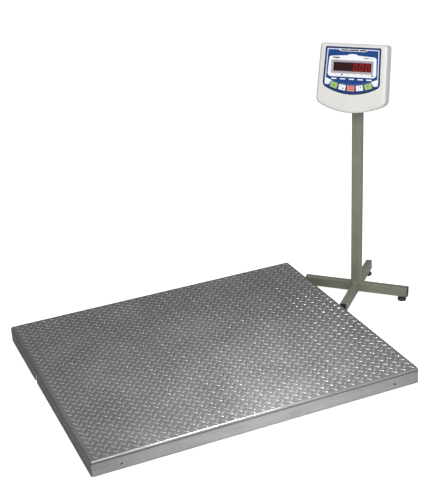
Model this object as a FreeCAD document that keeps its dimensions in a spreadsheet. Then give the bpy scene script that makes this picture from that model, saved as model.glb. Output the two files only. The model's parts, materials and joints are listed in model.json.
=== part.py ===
import FreeCAD, Part
import math
import os
import re
import Sketcher

# A platform shipping scale: a low chequer-plate platform on four shear-beam load cells, and a display
# head on a column with a cross foot. Millimetres, +Z up, +X along the platform's front edge to the right,
# +Y to its back. The origin is the floor point under the platform's centre.

SIZES = {
    # platform pan
    "deck_length": 1200,
    "deck_width": 1000,
    "deck_top": 62,
    "skirt_gap": 5,
    "plate_thick": 5,
    "skirt_thick": 4,
    "corner_round": 9,
    "edge_round": 6,
    "notch_width": 25,
    "notch_tall": 31,
    "notch_left_place": 148,
    "notch_right_place": 254,
    "notch_round": 5,
    # threaded lifting eyes in the front and back skirts
    "eye_spread": 1000,
    "eye_radius": 5,
    "eye_rise": 26,
    "bush_radius": 11,
    "bush_length": 5.5,
    # stiffening under the plate
    "rib_thick": 6,
    "rib_tall": 40,
    "rib_pitch": 185,
    "channel_place": 540,
    "channel_wide": 100,
    "channel_tall": 43,
    "channel_wall": 4,
    "channel_end_gap": 6,
    # load cells
    "cell_wide": 32,
    "cell_long": 130,
    "cell_low": 16,
    "cell_tall": 32,
    "cell_outer_end": 455,
    "cell_foot_place": 440,
    "cell_bolt_inner": 341,
    "cell_bolt_outer": 366,
    "cell_cup_radius": 13,
    "cell_cup_deep": 4,
    "cell_cup_place": 403,
    "cell_nub_radius": 5,
    "cell_nub_long": 10,
    "cell_nub_rise": 38,
    "spacer_wide": 60,
    "spacer_long": 62,
    "spacer_thick": 5,
    "bolt_radius": 6,
    "bolt_clearance": 0.1,
    "bolt_head_radius": 9,
    "bolt_head_tall": 7.5,
    "bolt_tip": 56.5,
    "bolt_socket_radius": 5.8,
    "bolt_socket_deep": 5,
    # levelling feet under the load cells
    "foot_pad_radius": 25,
    "foot_pad_tall": 6,
    "foot_hub_radius": 12,
    "foot_hub_top": 9.5,
    "foot_bore_low": 3,
    "foot_stem_radius": 6,
    "foot_stem_top": 46,
    "foot_hex_radius": 9.5,
    "foot_hex_low": 10.5,
    "foot_hex_tall": 4.5,
    "running_gap": 0.05,
    # junction box
    "box_left": -440,
    "box_length": 140,
    "box_front": 213,
    "box_width": 90,
    "box_low": 27,
    "box_wall": 3,
    "box_pillar": 8,
    "lid_thick": 3,
    "box_screw_radius": 2,
    "box_screw_head": 3.5,
    "box_screw_head_tall": 2.5,
    "box_screw_long": 12,
    "box_screw_inset": 4.5,
    "summing_inset": 12,
    "summing_post": 4,
    "summing_post_inset": 6,
    "terminal_pitch": 20,
    "terminal_wide": 15,
    "terminal_long": 12,
    "terminal_tall": 9,
    # cables and their glands
    "cable_radius": 3,
    "cable_bend": 9,
    "cable_low": 10,
    "gland_radius": 6,
    "gland_hex_radius": 9,
    "gland_hex_tall": 4,
    "gland_dome_radius": 7,
    "gland_tip_radius": 5,
    "gland_dome_tall": 8,
    "gland_rise": 42,
    "gland_first": 225,
    "gland_pitch": 22,
    "signal_lane": 258,
    "signal_turn": 608,
    # stand
    "stand_x": 764,
    "stand_y": 206,
    "stand_turn": -45,
    "leg_reach": 209,
    "leg_low": 18,
    "leg_tall": 40,
    "leg_wide": 25,
    "leg_wall": 1.6,
    "tube_round": 3,
    "cap_thick": 3,
    "cap_plug": 14,
    "column_side": 38,
    "column_wall": 1.6,
    "column_top": 925,
    "column_cap_thick": 3,
    "stand_foot_place": 188,
    "stand_stem_radius": 4,
    "stand_stem_top": 44,
    "stand_nut_radius": 7,
    "stand_nut_tall": 8,
    "stand_pad_radius": 17.5,
    "stand_pad_tall": 12,
    "stand_pad_round": 6,
    "stand_hub_radius": 9,
    "stand_hub_top": 13.5,
    "stand_hex_radius": 7.5,
    "stand_hex_low": 14,
    "stand_hex_tall": 3.5,
    "cable_hole": 5,
    "cable_exit_rise": 795,
    # bracket between column and head
    "bracket_thick": 3,
    "bracket_slack": 0.1,
    "bracket_plate_wide": 120,
    "bracket_plate_low": 55,
    "bracket_plate_high": 144,
    "bracket_cheek_low": 845,
    "bracket_cheek_high": 922,
    "bracket_bolt_low": 862,
    "bracket_bolt_high": 904,
    "bracket_bolt_radius": 3,
    "bracket_head_radius": 5.5,
    "bracket_head_tall": 4,
    "bracket_nut_tall": 5,
    "mount_screw_side": 45,
    "mount_screw_low": 66,
    "mount_screw_high": 136,
    "mount_screw_radius": 2,
    "mount_screw_head": 4,
    "mount_screw_head_tall": 3,
    "mount_screw_slot": 1.8,
    "mount_boss_long": 15,
    # display head
    "head_reach": 132,
    "head_rise": 808,
    "head_lean": 15,
    "head_tall": 253,
    "head_top_half": 126,
    "head_low_half": 132,
    "head_side_low": 40,
    "head_chin_radius": 250,
    "head_depth": 75,
    "head_split": 45,
    "head_wall": 2.5,
    "head_front_wall": 3,
    "head_corner_top": 13,
    "head_corner_low": 27,
    "head_edge_front": 11,
    "head_edge_back": 7,
    "seam_half": 0.5,
    "seam_deep": 0.8,
    # label panel, window and keys
    "label_top": 241,
    "label_top_half": 105,
    "label_low_half": 110.5,
    "label_low": 66.5,
    "label_arc": 205,
    "label_corner_top": 7,
    "label_corner_low": 20,
    "label_thick": 0.5,
    "label_gap": 0.15,
    "window_rise": 168,
    "window_length": 142,
    "window_tall": 32,
    "window_lap": 1.4,
    "window_front": 0.8,
    "window_thick": 2,
    "bezel_rim": 8,
    "bezel_proud": 1.2,
    "bezel_body": 3.5,
    "bezel_back": 3.9,
    "key_wide": 26,
    "key_tall": 19,
    "key_gap": 0.6,
    "key_corner": 2,
    "key_edge": 0.35,
    "key_proud": 0.4,
    "key_back": 1,
    "key_pocket": 1.8,
    "key_arc": 218,
    "key_step": 8.6,
    "key_rise": 90.5,
    "plunger_radius": 2,
    "plunger_hole": 2.3,
    "plunger_tip": 5,
    # boards and what else the head holds
    "board_thick": 1.6,
    "display_board_wide": 168,
    "display_board_tall": 52,
    "display_post_side": 79,
    "display_post_lift": 20,
    "chip_side": 14,
    "chip_tall": 8,
    "chip_deep": 3,
    "chip_pitch": 45,
    "key_board_half": 82,
    "key_board_low": 76,
    "key_board_high": 116,
    "key_post_side": 76,
    "key_post_rise": 84,
    "main_board_wide": 176,
    "main_board_low": 146,
    "main_board_high": 230,
    "main_post_side": 78,
    "main_post_low": 153,
    "main_post_high": 222,
    "processor_left": -30,
    "processor_side": 24,
    "processor_low": 180,
    "socket_left": 20,
    "socket_long": 40,
    "socket_low": 150,
    "socket_tall": 12,
    "socket_deep": 8,
    "sink_left": -70,
    "sink_wide": 20,
    "sink_low": 186,
    "sink_tall": 24,
    "sink_deep": 12,
    "capacitor_radius": 6,
    "capacitor_deep": 14,
    "capacitor_place": 50,
    "capacitor_pitch": 16,
    "capacitor_rise": 195,
    "battery_left": -90,
    "battery_right": 7,
    "battery_front": 32,
    "battery_back": 56,
    "battery_tall": 50,
    "pole_wide": 5,
    "pole_inset": 10,
    "pole_tall": 6,
    "core_left": 22,
    "core_right": 62,
    "core_front": 28,
    "core_back": 58,
    "core_tall": 34,
    "coil_inset": 6,
    "coil_front": 24,
    "coil_back": 59.5,
    "display_board_front": 12.5,
    "digit_wide": 21.5,
    "digit_tall": 31,
    "digit_deep": 8,
    "digit_pitch": 22.5,
    "key_board_front": 9,
    "switch_side": 6,
    "switch_deep": 2.9,
    "switch_button": 1.75,
    "switch_button_tall": 0.55,
    "main_board_front": 40,
    "post_radius": 3.5,
    "boss_radius": 5.5,
    "case_screw_radius": 1.75,
    "case_screw_head": 3.5,
    "case_screw_head_tall": 2.5,
    "case_screw_sink": 1.5,
    "case_screw_slot": 1.6,
    "case_screw_long": 40,
    "case_screw_top": 224,
    "case_screw_top_side": 108,
    "case_screw_low": 56,
    "case_screw_low_side": 112,
    "shelf_rise": 45,
    "shelf_thick": 3,
    "shelf_left": -92,
    "shelf_right": 76,
    "switch_side_place": -80,
    "switch_rise": 31,
    "rocker_half": 7.4,
    "rocker_thick": 2.4,
    "rocker_tall": 9.6,
    "rocker_throw": 16,
    "rocker_pin_radius": 1.2,
    "rocker_pin_half": 5.6,
    "switch_face": 1.5,
    "switch_flange_wide": 22,
    "switch_flange_tall": 16,
    "switch_box_wide": 19,
    "switch_box_tall": 13,
    "switch_box_deep": 16,
    "switch_way_wide": 17,
    "switch_way_tall": 10,
    "switch_way_deep": 7,
    "inlet_side_place": 70,
    "inlet_rise": 33,
    "inlet_flange_wide": 32,
    "inlet_flange_tall": 22,
    "inlet_flange_thick": 2,
    "inlet_wide": 27,
    "inlet_tall": 18,
    "inlet_deep": 18,
    "inlet_well_wide": 22,
    "inlet_well_tall": 14,
    "inlet_well_deep": 12,
    "inlet_pin_pitch": 6,
    "opening_gap": 0.1,
    "vent_low": 176,
    "vent_high": 214,
    "vent_wide": 5,
    "gland_head_rise": 36,
}

NODES = []

doc = FreeCAD.newDocument("platform_shipping_scale")
sheet = doc.addObject("Spreadsheet::Sheet", "sizes")
for row, (alias, value) in enumerate(SIZES.items(), 1):
    sheet.set(f"A{row}", alias.replace("_", " "))
    sheet.set(f"B{row}", str(value))
    sheet.setAlias(f"B{row}", alias)
doc.recompute()

# The stand's own frame has X along one leg to the right of the head, Y to the back, and its origin on
# the floor under the column. The head's frame leans back with the display face as its XZ plane.
STAND = (
    "create(<<placement>>; create(<<vector>>; sizes.stand_x; sizes.stand_y; 0); "
    "create(<<rotation>>; create(<<vector>>; 0; 0; 1); sizes.stand_turn))"
)
HEAD_ON_STAND = (
    "create(<<placement>>; create(<<vector>>; 0; -sizes.head_reach; sizes.head_rise); "
    "create(<<rotation>>; create(<<vector>>; 1; 0; 0); -sizes.head_lean))"
)
HEAD = f"{STAND} * {HEAD_ON_STAND}"

ALONG = {
    "x": FreeCAD.Rotation(FreeCAD.Vector(0, 1, 0), 90),
    "y": FreeCAD.Rotation(FreeCAD.Vector(1, 0, 0), -90),
    "z": FreeCAD.Rotation(),
}


def cells(text):
    """An expression in which every driving size is read from the sheet."""
    return re.sub(r"[a-z]\w*", lambda word: f"sizes.{word[0]}" if word[0] in SIZES else word[0], str(text))


def number(text):
    """The value of an expression in the driving sizes."""
    return float(sheet.evalExpression(cells(text)))


def bind(item, **sizes):
    for name, text in sizes.items():
        item.setExpression(name, cells(text))
    return item


def place(item, x, y, z):
    bind(item, **{"Placement.Base.x": x, "Placement.Base.y": y, "Placement.Base.z": z})
    return item


def block(name, spans):
    """A box between three pairs of low and high faces."""
    (x_low, x_high), (y_low, y_high), (z_low, z_high) = spans
    item = doc.addObject("Part::Box", name)
    bind(item, Length=f"({x_high}) - ({x_low})", Width=f"({y_high}) - ({y_low})")
    bind(item, Height=f"({z_high}) - ({z_low})")
    return place(item, x_low, y_low, z_low)


def middle(centre, size):
    """The low and high face of a span with this centre and size."""
    return (f"({centre}) - ({size}) / 2", f"({centre}) + ({size}) / 2")


def rod(name, radius, start, length, along="z"):
    item = doc.addObject("Part::Cylinder", name)
    bind(item, Radius=radius, Height=length)
    item.Placement.Rotation = ALONG[along]
    return place(item, *start)


def cone(name, radii, start, length, along="z"):
    item = doc.addObject("Part::Cone", name)
    bind(item, Radius1=radii[0], Radius2=radii[1], Height=length)
    item.Placement.Rotation = ALONG[along]
    return place(item, *start)


def hexagon(name, radius, start, length, along="z"):
    item = doc.addObject("Part::Prism", name)
    item.Polygon = 6
    bind(item, Circumradius=radius, Height=length)
    item.Placement.Rotation = ALONG[along]
    return place(item, *start)


def fuse(name, *pieces):
    item = doc.addObject("Part::MultiFuse", name)
    item.Shapes = list(pieces)
    return item


def group(name, *pieces):
    """Separate solids that share one node."""
    item = doc.addObject("Part::Compound", name)
    item.Links = list(pieces)
    return item


def cut(name, base, *tools):
    item = doc.addObject("Part::Cut", name)
    item.Base = base
    item.Tool = tools[0] if len(tools) == 1 else fuse(f"{name}_tools", *tools)
    return item


def shaped(name, shape):
    item = doc.addObject("Part::Feature", name)
    item.Shape = shape
    return item


def node(label, item, frame=None):
    """Names a finished sub-part and puts it in its place."""
    item.Label = label
    if frame:
        item.setExpression("Placement", frame)
    NODES.append(item)
    return item


def vector(*texts):
    return FreeCAD.Vector(*[number(text) for text in texts])


def new_sketch(body, plane, rise, name):
    """A sketch on one of the body's own origin planes, lifted off it by rise."""
    sketch = body.newObject("Sketcher::SketchObject", f"{body.Name}_{name}")
    sketch.AttachmentSupport = [(next(f for f in body.Origin.OriginFeatures if f.Role == plane), "")]
    sketch.MapMode = "FlatFace"
    bind(sketch, **{"AttachmentOffset.Base.z": rise})
    return sketch


def hold(sketch, kind, places, text):
    """A dimension of the sketch that follows the sheet."""
    made = sketch.addConstraint(Sketcher.Constraint(kind, *places, number(text)))
    bind(sketch, **{f"Constraints[{made}]": text})


def outline(body, plane, corners, rise="0", name="outline"):
    """A closed sketch with straight sides, its corners held by the sheet."""
    sketch = new_sketch(body, plane, rise, name)
    points = [FreeCAD.Vector(number(x), number(y), 0) for x, y in corners]
    count = len(points)
    for i in range(count):
        sketch.addGeometry(Part.LineSegment(points[i], points[(i + 1) % count]), False)
    for i in range(count):
        sketch.addConstraint(Sketcher.Constraint("Coincident", i, 2, (i + 1) % count, 1))
    for i, (x, y) in enumerate(corners):
        hold(sketch, "DistanceX", (-1, 1, i, 1), x)
        hold(sketch, "DistanceY", (-1, 1, i, 1), y)
    return sketch


def circles(body, plane, centres, radius, rise="0", name="circles"):
    sketch = new_sketch(body, plane, rise, name)
    for i, (x, y) in enumerate(centres):
        centre = FreeCAD.Vector(number(x), number(y), 0)
        sketch.addGeometry(Part.Circle(centre, FreeCAD.Vector(0, 0, 1), number(radius)), False)
        hold(sketch, "Radius", (i,), radius)
        hold(sketch, "DistanceX", (-1, 1, i, 3), x)
        hold(sketch, "DistanceY", (-1, 1, i, 3), y)
    return sketch


def rectangle(x_span, y_span):
    (x_low, x_high), (y_low, y_high) = x_span, y_span
    return [(x_low, y_low), (x_high, y_low), (x_high, y_high), (x_low, y_high)]


def new_body(name):
    return doc.addObject("PartDesign::Body", name)


def pad(body, sketch, length, both_ways=False):
    feature = body.newObject("PartDesign::Pad", f"{sketch.Name}_pad")
    feature.Profile = sketch
    bind(feature, Length=length)
    feature.Midplane = both_ways
    body.Tip = feature
    doc.recompute()
    return feature


def pocket(body, sketch, length, upward=False, both_ways=False):
    """Cuts the sketch's outline, and stops the build if nothing was cut."""
    before = body.Shape.Volume
    feature = body.newObject("PartDesign::Pocket", f"{sketch.Name}_pocket")
    feature.Profile = sketch
    bind(feature, Length=length)
    feature.Reversed = upward
    feature.Midplane = both_ways
    body.Tip = feature
    doc.recompute()
    if body.Shape.Volume > before - 1:
        raise RuntimeError(f"{feature.Name} cut nothing")
    return feature


def edge_names(shape, wanted):
    return [f"Edge{i}" for i, edge in enumerate(shape.Edges, 1) if wanted(edge)]


def ease(body, kind, size, wanted):
    """A PartDesign Fillet or Chamfer on the edges that pass the test."""
    base = body.Tip
    feature = body.newObject(f"PartDesign::{kind}", f"{body.Name}_{kind}_{len(body.Group)}")
    feature.Base = (base, edge_names(base.Shape, wanted))
    bind(feature, **{"Radius" if kind == "Fillet" else "Size": size})
    body.Tip = feature
    doc.recompute()
    return feature


def is_along(edge, axis):
    """Whether an edge runs straight along X, Y or Z."""
    box = edge.BoundBox
    return all(getattr(box, f"{other}Length") < 1e-6 for other in "XYZ" if other != axis)


# ---------------------------------------------------------------- platform


def deck_plate():
    """The pan: a chequer plate with its four sides folded down, eye holes in front and back and a cable
    notch in the left and right skirt."""
    body = new_body("deck_plate")
    across = middle(0, "deck_length")
    deep = middle(0, "deck_width")
    base = outline(body, "XY_Plane", rectangle(across, deep), "skirt_gap", "outer")
    pad(body, base, "deck_top - skirt_gap")
    ease(body, "Fillet", "corner_round", lambda e: is_along(e, "Z"))
    top = number("deck_top")
    ease(body, "Fillet", "edge_round", lambda e: e.BoundBox.ZMin > top - 1e-6)
    across = middle(0, "deck_length - 2 * skirt_thick")
    deep = middle(0, "deck_width - 2 * skirt_thick")
    inside = outline(body, "XY_Plane", rectangle(across, deep), "skirt_gap", "inner")
    pocket(body, inside, "deck_top - skirt_gap - plate_thick", upward=True)
    for side in ("left", "right"):
        notch = rectangle(middle(f"notch_{side}_place", "notch_width"), ("0", "skirt_gap + notch_tall"))
        drawn = outline(body, "YZ_Plane", notch, name=f"notch_{side}")
        pocket(body, drawn, "deck_length", upward=side == "right")
    high = number("skirt_gap + notch_tall")
    side = number("deck_length / 2 - skirt_thick - 1")
    ease(
        body,
        "Fillet",
        "notch_round",
        lambda e: is_along(e, "X") and e.BoundBox.XLength < side and abs(e.BoundBox.ZMin - high) < 1e-6,
    )
    places = [(f"{side} * eye_spread / 2", "eye_rise") for side in (-1, 1)]
    eyes = circles(body, "XZ_Plane", places, "eye_radius", name="eyes")
    pocket(body, eyes, "deck_width + 10", both_ways=True)
    node("deck_plate", body)


def deck_ribs():
    ends = middle(0, "2 * channel_place - channel_wide")
    high = ("deck_top - plate_thick - rib_tall", "deck_top - plate_thick")
    ribs = [
        block(f"deck_rib_{i}", (ends, middle(f"{i - 2} * rib_pitch", "rib_thick"), high)) for i in range(5)
    ]
    node("deck_ribs", group("deck_ribs", *ribs))


def side_channels():
    """Two upturned channels under the plate's short sides; each holds a load cell at either end."""
    channels = []
    long = middle(0, "deck_width - 2 * skirt_thick - 2 * channel_end_gap")
    top = "deck_top - plate_thick"
    for side in ("-1", "1"):
        name = f"channel_{'left' if side == '-1' else 'right'}"
        centre = f"{side} * channel_place"
        outer = block(
            f"{name}_outer", (middle(centre, "channel_wide"), long, (f"{top} - channel_tall", top))
)
        inner = block(
            f"{name}_inner",
            (
                middle(centre, "channel_wide - 2 * channel_wall"),
                middle(0, "deck_width"),
                (f"{top} - channel_tall - 1", f"{top} - channel_wall"),
            ),
        )
        holes = [
            rod(
                f"{name}_hole_{i}_{end[0]}",
                "bolt_radius + bolt_clearance",
                (centre, f"{end} * {place_name}", "deck_top - plate_thick - channel_wall - 1"),
                "channel_wall + 2",
            )
            for i, place_name in enumerate(("cell_bolt_inner", "cell_bolt_outer"))
            for end in ("-1", "1")
        ]
        channels.append(cut(name, outer, inner, *holes))
    node("side_channels", group("side_channels", *channels))


def lifting_bushes():
    """Threaded bushes welded behind the eye holes."""
    bushes = []
    for i, (x_side, y_side) in enumerate([(-1, -1), (1, -1), (-1, 1), (1, 1)]):
        inner_face = f"{y_side} * (deck_width / 2 - skirt_thick)"
        start = inner_face if y_side < 0 else f"({inner_face}) - bush_length"
        centre = f"{x_side} * eye_spread / 2"
        outer = rod(f"bush_{i}_outer", "bush_radius", (centre, start, "eye_rise"), "bush_length", "y")
        bore = rod(f"bush_{i}_bore", "eye_radius", (centre, start, "eye_rise"), "bush_length", "y")
        bushes.append(cut(f"bush_{i}", outer, bore))
    node("lifting_bushes", group("lifting_bushes", *bushes))


CORNERS = {
    "front_left": (-1, -1),
    "front_right": (1, -1),
    "rear_left": (-1, 1),
    "rear_right": (1, 1),
}


def ordered(side, near, far):
    """A span on the negative or positive side, low face first."""
    return (f"-({far})", f"-({near})") if side < 0 else (near, far)


def load_cell(corner):
    """A shear-beam cell: two bolt holes at its fixed end, the foot's thread at its free end, and a
    sealed cup in the middle of either side."""
    x_side, y_side = CORNERS[corner]
    name = f"load_cell_{corner}"
    centre = f"{x_side} * channel_place"
    inner_end = "cell_outer_end - cell_long"
    bar = block(
        f"{name}_bar",
        (
            middle(centre, "cell_wide"),
            ordered(y_side, inner_end, "cell_outer_end"),
            ("cell_low", "cell_low + cell_tall"),
        ),
    )
    nub_start = f"{inner_end} - cell_nub_long" if y_side > 0 else f"-({inner_end}) - 1"
    nub = rod(
        f"{name}_nub", "cell_nub_radius", (centre, nub_start, "cell_nub_rise"), "cell_nub_long + 1", "y"
)
    holes = [
        rod(
            f"{name}_bolt_hole_{i}",
            "bolt_radius + bolt_clearance",
            (centre, f"{y_side} * {where}", "cell_low - 1"),
            "cell_tall + 2",
        )
        for i, where in enumerate(("cell_bolt_inner", "cell_bolt_outer"))
    ]
    thread = rod(
        f"{name}_foot_hole",
        "foot_stem_radius + running_gap",
        (centre, f"{y_side} * cell_foot_place", "cell_low - 1"),
        "cell_tall + 2",
    )
    cups = [
        rod(
            f"{name}_cup_{i}",
            "cell_cup_radius",
            (start, f"{y_side} * cell_cup_place", "cell_low + cell_tall / 2"),
            "cell_cup_deep + 1",
            "x",
        )
        for i, start in enumerate(
            (f"{centre} - cell_wide / 2 - 1", f"{centre} + cell_wide / 2 - cell_cup_deep")
)
    ]
    cable_bore = rod(
        f"{name}_cable_bore",
        "cable_radius + running_gap",
        (
            centre,
            f"{inner_end} - cell_nub_long - 1" if y_side > 0 else f"-({inner_end}) + 1",
            "cell_nub_rise",
),
        "cell_nub_long",
        "y",
    )
    node(name, cut(name, fuse(f"{name}_body", bar, nub), *holes, thread, *cups, cable_bore))


def load_cell_fixings():
    """The tapped spacer plate over each cell's fixed end, and the bolts that hold the cell up to it."""
    spacers = []
    bolts = []
    for corner, (x_side, y_side) in CORNERS.items():
        centre = f"{x_side} * channel_place"
        places = [f"{y_side} * {where}" for where in ("cell_bolt_inner", "cell_bolt_outer")]
        plate = block(
            f"spacer_{corner}_plate",
            (
                middle(centre, "spacer_wide"),
                middle(f"{y_side} * (cell_bolt_inner + cell_bolt_outer) / 2", "spacer_long"),
                ("cell_low + cell_tall", "cell_low + cell_tall + spacer_thick"),
            ),
        )
        holes = [
            rod(
                f"spacer_{corner}_hole_{i}",
                "bolt_radius + bolt_clearance",
                (centre, where, "cell_low + cell_tall - 1"),
                "spacer_thick + 2",
            )
            for i, where in enumerate(places)
        ]
        spacers.append(cut(f"spacer_{corner}", plate, *holes))
        for i, where in enumerate(places):
            name = f"cell_bolt_{corner}_{i}"
            head_low = "cell_low - bolt_head_tall"
            shank = rod(
                f"{name}_shank", "bolt_radius", (centre, where, head_low), f"bolt_tip - ({head_low})"
)
            head = rod(f"{name}_head", "bolt_head_radius", (centre, where, head_low), "bolt_head_tall")
            socket = hexagon(
                f"{name}_socket", "bolt_socket_radius", (
                    centre, where, f"{head_low} - 1"
), "bolt_socket_deep + 1"
            )
            bolts.append(cut(name, fuse(f"{name}_body", shank, head), socket))
    node("load_cell_spacers", group("load_cell_spacers", *spacers))
    node("load_cell_bolts", group("load_cell_bolts", *bolts))


def levelling_foot(corner):
    """A steel foot pad with a blind hub, and the threaded stem that turns in it."""
    x_side, y_side = CORNERS[corner]
    centre = (f"{x_side} * channel_place", f"{y_side} * cell_foot_place")
    name = f"foot_pad_{corner}"
    disc = rod(f"{name}_disc", "foot_pad_radius", (*centre, "0"), "foot_pad_tall")
    hub = cone(
        f"{name}_hub",
        ("foot_hub_radius + 4", "foot_hub_radius"),
        (*centre, "foot_pad_tall - 0.5"),
        "foot_hub_top - foot_pad_tall + 0.5",
    )
    bore = rod(
        f"{name}_bore", "foot_stem_radius + running_gap", (
            *centre, "foot_bore_low"
), "foot_hub_top - foot_bore_low + 1"
    )
    node(name, cut(name, fuse(f"{name}_body", disc, hub), bore))
    name = f"foot_stem_{corner}"
    low = "foot_bore_low + running_gap"
    stem = rod(f"{name}_rod", "foot_stem_radius", (*centre, low), f"foot_stem_top - ({low})")
    flats = hexagon(f"{name}_flats", "foot_hex_radius", (*centre, "foot_hex_low"), "foot_hex_tall")
    node(name, fuse(name, stem, flats))


BOX_TOP = "deck_top - plate_thick"
BOX_SPANS = (
    ("box_left", "box_left + box_length"),
    ("box_front", "box_front + box_width"),
    ("box_low", BOX_TOP),
)
BOX_SCREWS = [
    (f"box_left + {a}", f"box_front + {b}")
    for a in ("box_screw_inset", "box_length - box_screw_inset")
    for b in ("box_screw_inset", "box_width - box_screw_inset")
]


def cell_lane(i):
    """The line along which the cable of the i-th cell reaches the junction box."""
    return f"gland_first + {i} * gland_pitch"


def junction_box():
    """A box welded up under the plate, its lid below, four screws and the summing board."""
    outer = block("junction_box_outer", BOX_SPANS)
    inner_spans = [(f"{low} + box_wall", f"{high} - box_wall") for low, high in BOX_SPANS]
    inner_spans[2] = ("box_low - 1", f"{BOX_TOP} - box_wall")
    inner = block("junction_box_inner", inner_spans)
    hollow = cut("junction_box_hollow", outer, inner)
    pillars = [
        block(
            f"box_pillar_{i}",
            (middle(x, "box_pillar"), middle(y, "box_pillar"), ("box_low", f"{BOX_TOP} - 1")),
)
        for i, (x, y) in enumerate(BOX_SCREWS)
    ]
    screw_holes = [
        rod(
            f"box_screw_hole_{i}",
            "box_screw_radius + running_gap",
            (x, y, "box_low - 1"),
            "box_screw_long + 1",
)
        for i, (x, y) in enumerate(BOX_SCREWS)
    ]
    cell_holes = [
        rod(
            f"box_gland_hole_{i}",
            "gland_radius",
            ("box_left - 1", cell_lane(i), "gland_rise"),
            "box_wall + 1",
            "x",
)
        for i in range(4)
    ]
    signal_hole = rod(
        "box_signal_hole",
        "gland_radius",
        ("box_left + box_length - box_wall", "signal_lane", "gland_rise"),
        "box_wall + 1",
        "x",
    )
    walls = fuse("junction_box_walls", hollow, *pillars)
    node("junction_box", cut("junction_box", walls, *screw_holes, *cell_holes, signal_hole))

    lid_spans = (BOX_SPANS[0], BOX_SPANS[1], ("box_low - lid_thick", "box_low"))
    lid_holes = [
        rod(
            f"lid_hole_{i}",
            "box_screw_radius + running_gap",
            (x, y, "box_low - lid_thick - 1"),
            "lid_thick + 2",
)
        for i, (x, y) in enumerate(BOX_SCREWS)
    ]
    node("junction_box_lid", cut("junction_box_lid", block("lid_plate", lid_spans), *lid_holes))

    screws = []
    for i, (x, y) in enumerate(BOX_SCREWS):
        head_low = "box_low - lid_thick - box_screw_head_tall"
        head = rod(f"box_screw_{i}_head", "box_screw_head", (x, y, head_low), "box_screw_head_tall")
        shank = rod(
            f"box_screw_{i}_shank",
            "box_screw_radius",
            (x, y, head_low),
            "box_screw_head_tall + lid_thick + box_screw_long - 1",
        )
        screws.append(fuse(f"box_screw_{i}", head, shank))
    node("junction_box_screws", group("junction_box_screws", *screws))

    inset = "(box_wall + summing_inset)"
    board_spans = [(f"{low} + {inset}", f"{high} - {inset}") for low, high in BOX_SPANS]
    board_top = f"{BOX_TOP} - box_wall - summing_post"
    board_spans[2] = (f"{board_top} - board_thick", board_top)
    board = block("summing_plate", board_spans)
    spacers = [
        rod(f"summing_post_{i}", "post_radius", (x, y, board_top), "summing_post")
        for i, (x, y) in enumerate(
            (
                f"{board_spans[0][a]} + {1 - 2 * a} * summing_post_inset",
                f"{board_spans[1][b]} + {1 - 2 * b} * summing_post_inset",
            )
            for a in (0, 1)
            for b in (0, 1)
        )
    ]
    terminals = [
        block(
            f"summing_terminal_{i}",
            (
                middle(f"box_left + box_length / 2 + {i - 2} * terminal_pitch", "terminal_wide"),
                middle("box_front + box_width / 2", "terminal_long"),
                (f"{board_top} - board_thick - terminal_tall", f"{board_top} - board_thick"),
            ),
        )
        for i in range(5)
    ]
    node("summing_board", fuse("summing_board", board, *spacers, *terminals))


def gland(name, out, start, wall):
    """A cable gland on the X axis: threaded neck through the wall, hexagon and tapered dome outside.
    out is +1 or -1, the way the dome points; start is the wall's outer face."""
    x, y, z = start

    def low(near, far):
        return f"({x}) + ({near})" if out > 0 else f"({x}) - ({far})"

    tip = "gland_hex_tall + gland_dome_tall"
    neck = rod(
        f"{name}_neck", "gland_radius - running_gap", (low(f"-({wall})", "1"), y, z), f"({wall}) + 1", "x"
)
    if out < 0:
        place(neck, f"({x}) - 1", y, z)
    collar = hexagon(
        f"{name}_collar", "gland_hex_radius", (low("0", "gland_hex_tall"), y, z), "gland_hex_tall", "x"
)
    radii = ("gland_dome_radius", "gland_tip_radius")
    dome = cone(
        f"{name}_dome",
        radii if out > 0 else radii[::-1],
        (low("gland_hex_tall", tip), y, z),
        "gland_dome_tall",
        "x",
    )
    bore_length = f"({wall}) + {tip} + 2"
    bore = rod(
        f"{name}_bore",
        "cable_radius + running_gap",
        (f"({x}) - ({wall}) - 1" if out > 0 else f"({x}) - ({tip}) - 1", y, z),
        bore_length,
        "x",
    )
    return cut(name, fuse(f"{name}_body", neck, collar, dome), bore)


def cable_glands():
    """Four glands for the cell cables, one for the signal cable, and one more behind the head."""
    glands = [
        gland(f"gland_{i}", -1, ("box_left", cell_lane(i), "gland_rise"), "box_wall") for i in range(4)
]
    glands.append(
        gland("gland_signal", 1, ("box_left + box_length", "signal_lane", "gland_rise"), "box_wall")
)
    behind = gland("gland_head_part", 1, ("0", "0", "0"), "head_wall")
    turned = group("gland_head", behind)
    turned.setExpression(
        "Placement",
        f"{HEAD} * create(<<placement>>; create(<<vector>>; 0; sizes.head_depth; sizes.gland_head_rise); "
        "create(<<rotation>>; create(<<vector>>; 0; 0; 1); 90))",
    )
    node("cable_glands", group("cable_glands", *glands, turned))


def cable_shape(points, bend, radius):
    """A round cable along straight runs with rounded corners."""
    edges = []
    at = points[0]
    for before, corner, after in zip(points, points[1:], points[2:]):
        into = (corner - before).normalize()
        away = (after - corner).normalize()
        half = into.getAngle(away) / 2
        back = bend * math.tan(half)
        first = corner - into * back
        last = corner + away * back
        towards = (away - into).normalize()
        centre = corner + towards * (bend / math.cos(half))
        edges.append(Part.LineSegment(at, first).toShape())
        edges.append(Part.Arc(first, centre - towards * bend, last).toShape())
        at = last
    edges.append(Part.LineSegment(at, points[-1]).toShape())
    spine = Part.Wire(edges)
    profile = Part.Wire(Part.Circle(points[0], points[1] - points[0], radius).toShape())
    return spine.makePipeShell([profile], True, False)


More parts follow.
